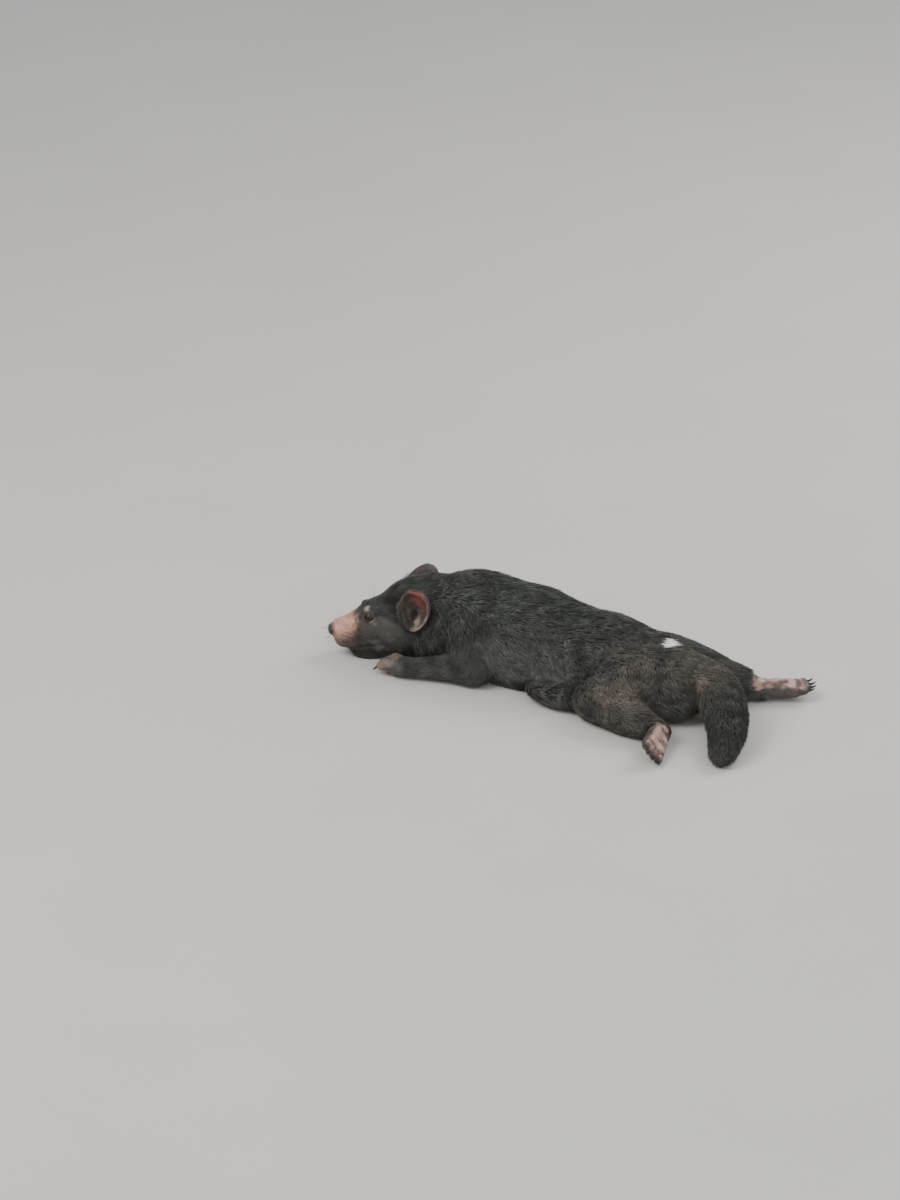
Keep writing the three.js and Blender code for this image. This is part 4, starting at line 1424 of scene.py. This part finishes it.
class DEVIL_OT_skin(bpy.types.Operator):
    """Makes the one skin of the whole body, with ears, eyelids, the mouth's groove, toes and pads"""

    bl_idname = "devil.skin"
    bl_label = "Skin"

    def execute(self, context):
        points, quads = body().grid.mesh()
        made = new_object("skin", points, quads)
        group = made.vertex_groups.new(name="thin_out")
        head = spread_over(points, [Ellipsoid(HEAD.at(45, 0, -20), (115, 75, 70), HEAD)])
        fine = 1 - ease(head, 0, 25)
        for axes in PAW_AXES.values():
            from_paw = np.linalg.norm(points - axes.at(25, 0, 0), axis=1)
            fine = np.maximum(fine, 1 - ease(from_paw, 45, 60))
        share = np.round(1 - 0.8 * fine, 1)
        for value in np.unique(share):
            group.add(np.nonzero(share == value)[0].tolist(), float(value), "REPLACE")
        thin = made.modifiers.new("Thin out", "DECIMATE")
        thin.ratio = context.scene.devil_sizes.skin_triangles / (2 * len(quads))
        thin.vertex_group = "thin_out"
        thin.use_collapse_triangulate = True
        baked(made)
        made.vertex_groups.clear()
        points = layout_points(made.data)
        masks = {**face_masks(points), **ear_masks(points), **paw_masks(points)}
        for name in MASKS:
            set_attribute(made.data, name, masks[name])
        made.data.shade_smooth()
        dress(made, skin_material(), "coat", *FLESH)
        return {"FINISHED"}


class DEVIL_OT_coat(bpy.types.Operator):
    """Lays the tufts of the coat over the skin, in pieces by region, which need the skin first"""

    bl_idname = "devil.coat"
    bl_label = "Coat"

    def execute(self, context):
        sizes = context.scene.devil_sizes
        skin = bpy.data.objects.get("skin")
        if skin is None:
            raise RuntimeError("The coat needs the skin first")
        draw = np.random.default_rng(sizes.seed)
        coverage = sizes.coverage * 1.0
        roots, region, fringe = sample_roots(skin, coverage, draw)
        points, tint = grow_tufts(roots, region, fringe, draw)
        plain = coat_material("Coat", 0.0)
        paler = coat_material("EarCoat", 0.55)
        for index, name in enumerate(REGIONS):
            bent = name in BENT
            most = PIECE_TRIANGLES // len(BENT_FACES if bent else STRAIGHT_FACES)
            mine = np.nonzero(region == index)[0]
            mine = mine[np.argsort(roots[mine, 0], kind="stable")]
            count = math.ceil(len(mine) / most)
            for part, chosen in enumerate(np.array_split(mine, count)):
                label = f"coat_{name}_{part + 1}" if count > 1 else f"coat_{name}"
                made = tuft_piece(label, points[chosen], roots[chosen], tint[chosen], bent)
                dress(made, paler if name == "ear" else plain, "coat")
        return {"FINISHED"}


def sphere(centre, radii, axes, rings=32, sectors=48):
    """Points and triangles of an ellipsoid whose poles lie ahead and behind."""
    tilt = np.linspace(0, math.pi, rings + 1)[1:-1]
    turn = round_angles(sectors)
    ahead = np.cos(tilt)[:, None] * np.ones(sectors) * radii[0]
    left = np.sin(tilt)[:, None] * np.cos(turn) * radii[1]
    up = np.sin(tilt)[:, None] * np.sin(turn) * radii[2]
    local = np.stack([ahead, left, up], axis=-1).reshape(-1, 3)
    local = np.concatenate([local, [[radii[0], 0, 0], [-radii[0], 0, 0]]])
    return from_local(local, centre, axes), ring_faces(rings - 1, sectors)


class DEVIL_OT_eyes(bpy.types.Operator):
    """Makes the two wet eyes"""

    bl_idname = "devil.eyes"
    bl_label = "Eyes"

    def execute(self, context):
        for side, (centre, outward) in body().eyes.items():
            points, faces = sphere(centre, (EYE["radius"],) * 3, Axes(centre, outward, EYE_TOP))
            made = new_object(f"eyeball_{side}", points, faces)
            dress(made, eye_material(f"Eye_{side}", centre, outward), "eye", f"eye_{side}")
        return {"FINISHED"}


class DEVIL_OT_nose(bpy.types.Operator):
    """Makes the nose pad with its two nostrils"""

    bl_idname = "devil.nose"
    bl_label = "Nose"

    def execute(self, context):
        wings = pair_on_head((NOSE_REACH - 7, 6.5, 0), (6.5, 5.2, 6.2), 0)
        grid = joined([Flesh(Ellipsoid(NOSE_PAD, (9, 11.6, 9.6), HEAD)), *wings], 2.5, NOSE_LATTICE)
        for side in (1, -1):
            hole = Axes(HEAD.at(NOSE_REACH - 1.5, 5.4 * side, -1), HEAD.direction(1, 0.4 * side, 0), HEAD.top)
            slit_end = hole.origin + HEAD.direction(-0.5, side, -0.15) * 6
            grid.carve(Ellipsoid(hole.origin, (5, 2.5, 2.3), hole), 1.0)
            grid.carve(Bar(hole.origin, slit_end, 1.3, 0.8), 0.8)
        grid.carve(Bar(HEAD.at(NOSE_REACH + 1, 0, -14), HEAD.at(NOSE_REACH + 0.6, 0, -2), 0.9, 0.5), 0.8)
        points, quads = grid.mesh()
        dress(new_object("nose_pad", points, quads), nose_material(), "nose", "nose")
        return {"FINISHED"}


class DEVIL_OT_claws(bpy.types.Operator):
    """Makes the curved claws of all four feet"""

    bl_idname = "devil.claws"
    bl_label = "Claws"

    def execute(self, context):
        material = claw_material()
        sectors, rings = CLAWS["sectors"], CLAWS["rings"]
        angle = round_angles(sectors)
        for name, (root, ahead, down, length) in body().claws.items():
            bend = root + ahead * length * 0.8
            tip = root + ahead * length + down * length * 0.3
            points, along = [], []
            for i in range(rings):
                t = i / rings
                middle = root * (1 - t) ** 2 + bend * 2 * t * (1 - t) + tip * t * t
                axes = Axes(middle, (bend - root) * (1 - t) + (tip - bend) * t, -down)
                size = CLAWS["radius"] * (1 - t) ** 0.6 * (1 - 0.2 * t)
                ring = np.stack([0 * angle, 0.86 * np.cos(angle), 1.2 * np.sin(angle)], axis=1) * size
                points.append(from_local(ring, middle, axes))
                along += [t] * sectors
            points = np.concatenate(points + [[root, tip]])
            points[:, 2] = np.maximum(points[:, 2], FLOOR_GAP["claw"])
            faces = ring_faces(rings, sectors)[:, ::-1]
            made = new_object(f"{name}_horn", points, faces, {"along": np.array(along + [0, 1])})
            dress(made, material, "claw", name)
        return {"FINISHED"}


# Whiskers: rows and columns, the field's range ahead and up on the head, length and direction
WHISKER_FIELDS = [
    ((4, 5), (96, 124), (-20, 4), 46, (-0.9, 1.0, -0.05)),
    ((1, 3), (44, 56), (-34, -30), 30, (-0.8, 1.0, -0.1)),
    ((1, 3), (56, 66), (26, 28), 22, (-0.3, 0.6, 0.9)),
    ((2, 3), (92, 112), (-50, -44), 12, (-0.2, 0.8, -0.2)),
]


def whisker_places(draw):
    """Roots on the skin, with the direction and length of each whisker."""
    roots, ways, lengths = [], [], []
    for (rows, columns), (rear, front), (low, high), length, way in WHISKER_FIELDS:
        for side, i, j in itertools.product((1, -1), range(rows), range(columns)):
            ahead = rear + (front - rear) * (j + 0.5 * (i % 2) + draw.uniform(-0.2, 0.2)) / columns
            up = low + (high - low) * (i + 0.5 + draw.uniform(-0.2, 0.2)) / rows
            ray = HEAD.direction(0.25 if ahead > 110 else 0.05, side, 0.8 if up > 20 else -0.1)
            root = body().grid.hit(HEAD.at(ahead, 0, up * 0.8), ray)
            jitter = draw.normal(0, 0.17, 3)
            turn = HEAD.direction(way[0] + jitter[0], side * (way[1] + jitter[1]), way[2] + jitter[2])
            roots.append(root - turn * 0.8)
            ways.append(tuple(Vector(turn).to_track_quat("X", "Z").to_euler()))
            shorter = 1.15 - 0.5 * (ahead - rear) / (front - rear)
            lengths.append(length * draw.uniform(0.6, 1.15) * shorter * MM)
    return np.array(roots), np.array(ways), np.array(lengths)


def whisker_nodes():
    """Geometry nodes that set one curved, tapering hair on every point."""
    tree = bpy.data.node_groups.new("DevilWhiskers", "GeometryNodeTree")
    inputs = {"Geometry": "Geometry", "Slimness": "Float", "Bend": "Float", "Material": "Material"}
    for name, kind in inputs.items():
        tree.interface.new_socket(name, in_out="INPUT", socket_type=f"NodeSocket{kind}")
    tree.interface.new_socket("Geometry", in_out="OUTPUT", socket_type="NodeSocketGeometry")
    t = Tree(tree)
    given = t.add("NodeGroupInput").outputs
    drop = t.math("MULTIPLY", given["Bend"], -1.0)

    def step(kind, inputs, **settings):
        return t.add(f"GeometryNode{kind}", inputs, **settings).outputs[0]

    end = t.add("ShaderNodeCombineXYZ", {"X": 0.96, "Z": drop}).outputs[0]
    arc = step("CurveQuadraticBezier", {"Resolution": 8, "Middle": (0.5, 0, 0), "End": end})
    factor = t.add("GeometryNodeSplineParameter").outputs["Factor"]
    taper = t.math("MULTIPLY_ADD", factor, -0.88, 1.0)
    hair = step("SetCurveRadius", {"Curve": arc, "Radius": taper})
    ring = step("CurvePrimitiveCircle", {"Resolution": 5, "Radius": given["Slimness"]})
    tube = step("CurveToMesh", {"Curve": hair, "Profile Curve": ring, "Fill Caps": True})
    turn = step("InputNamedAttribute", {"Name": "turn"}, data_type="FLOAT_VECTOR")
    size = step("InputNamedAttribute", {"Name": "size"}, data_type="FLOAT")
    places = {"Points": given["Geometry"], "Instance": tube, "Rotation": turn, "Scale": size}
    real = step("RealizeInstances", {"Geometry": step("InstanceOnPoints", places)})
    final = step("SetMaterial", {"Geometry": real, "Material": given["Material"]})
    t.put(t.add("NodeGroupOutput").inputs[0], final)
    return tree


class DEVIL_OT_whiskers(bpy.types.Operator):
    """Sets the whiskers of muzzle, cheeks, brows and chin"""

    bl_idname = "devil.whiskers"
    bl_label = "Whiskers"

    def execute(self, context):
        sizes = context.scene.devil_sizes
        roots, ways, lengths = whisker_places(np.random.default_rng(sizes.seed))
        no_faces = np.empty((0, 3), dtype=np.int32)
        made = new_object("whiskers", roots, no_faces, {"turn": ways, "size": lengths})
        modifier = made.modifiers.new("Whiskers", "NODES")
        modifier.node_group = whisker_nodes()
        material = whisker_material()
        sockets = {item.name: item.identifier for item in modifier.node_group.interface.items_tree}
        modifier[sockets["Slimness"]] = sizes.whisker_slimness
        modifier[sockets["Bend"]] = sizes.whisker_bend
        modifier[sockets["Material"]] = material
        baked(made)
        if len(made.data.polygons) < len(roots):
            raise RuntimeError("The whiskers came out empty")
        made.data.shade_smooth()
        dress(made, material, "coat")
        return {"FINISHED"}


# The stage: lights with place, size, power and tone, the world, and the camera of the photograph
LIGHTS = [
    ("key", (-1.6, -2.2, 3.2), 2.2, 95, (1.0, 0.98, 0.95)),
    ("fill", (2.6, -2.0, 2.0), 2.5, 32, (0.93, 0.96, 1.0)),
    ("rim", (1.2, 2.6, 2.4), 2.0, 60, (1.0, 0.99, 0.97)),
]
LIT_PLACE = Vector((0, 0, 0.06))
SKY = {"Color": (0.9, 0.93, 1.0, 1), "Strength": 0.55}
FLOOR_SIZE = 14
CAMERA = {"lens": 150, "sensor_width": 36, "sensor_fit": "AUTO", "clip_end": 100}
CAMERA_PLACE = vec(3081.09, -6431.40, 3481.96)
CAMERA_TILT = math.radians(65)
CAMERA_TURN = math.radians(27)


class DEVIL_OT_stage(bpy.types.Operator):
    """Sets the pale floor, the soft lights and the camera of the photograph"""

    bl_idname = "devil.stage"
    bl_label = "Stage"

    def execute(self, context):
        scene = context.scene
        bpy.ops.mesh.primitive_plane_add(size=FLOOR_SIZE)
        floor = context.object
        floor.name = "floor"
        floor.data.materials.append(floor_material())
        for name, place, size, power, tint in LIGHTS:
            light = bpy.data.lights.new(name, "AREA")
            light.size = size
            light.energy = power
            light.color = tint
            holder = bpy.data.objects.new(name, light)
            holder.location = place
            holder.rotation_euler = (LIT_PLACE - Vector(place)).to_track_quat("-Z", "Y").to_euler()
            scene.collection.objects.link(holder)
        world = bpy.data.worlds.new("Studio")
        world.use_nodes = True
        for key, value in SKY.items():
            world.node_tree.nodes["Background"].inputs[key].default_value = value
        scene.world = world
        camera = bpy.data.cameras.new("camera")
        for key, value in CAMERA.items():
            setattr(camera, key, value)
        holder = bpy.data.objects.new("camera", camera)
        holder.location = to_frame(CAMERA_PLACE)
        holder.rotation_euler = (CAMERA_TILT, 0, CAMERA_TURN)
        scene.collection.objects.link(holder)
        scene.camera = holder
        return {"FINISHED"}


OPERATORS = [
    DEVIL_OT_skin,
    DEVIL_OT_coat,
    DEVIL_OT_eyes,
    DEVIL_OT_nose,
    DEVIL_OT_claws,
    DEVIL_OT_whiskers,
    DEVIL_OT_stage,
]


class DEVIL_PT_panel(bpy.types.Panel):
    bl_label = "Tasmanian devil"
    bl_space_type = "VIEW_3D"
    bl_region_type = "UI"
    bl_category = "Devil"

    def draw(self, context):
        for settings in (context.scene.devil_sizes, context.scene.devil_colours):
            for key in settings.bl_rna.properties.keys():
                if key not in ("rna_type", "name"):
                    self.layout.prop(settings, key)
        for operator in OPERATORS:
            self.layout.operator(operator.bl_idname)


def register():
    for item in (DevilSizes, DevilColours, *OPERATORS, DEVIL_PT_panel):
        bpy.utils.register_class(item)
    bpy.types.Scene.devil_sizes = bpy.props.PointerProperty(type=DevilSizes)
    bpy.types.Scene.devil_colours = bpy.props.PointerProperty(type=DevilColours)


def unregister():
    del bpy.types.Scene.devil_colours
    del bpy.types.Scene.devil_sizes
    for item in (DEVIL_PT_panel, *reversed(OPERATORS), DevilColours, DevilSizes):
        bpy.utils.unregister_class(item)


def main():
    register()
    for operator in OPERATORS:
        group, name = operator.bl_idname.split(".")
        getattr(getattr(bpy.ops, group), name)()


if __name__ == "__main__":
    main()
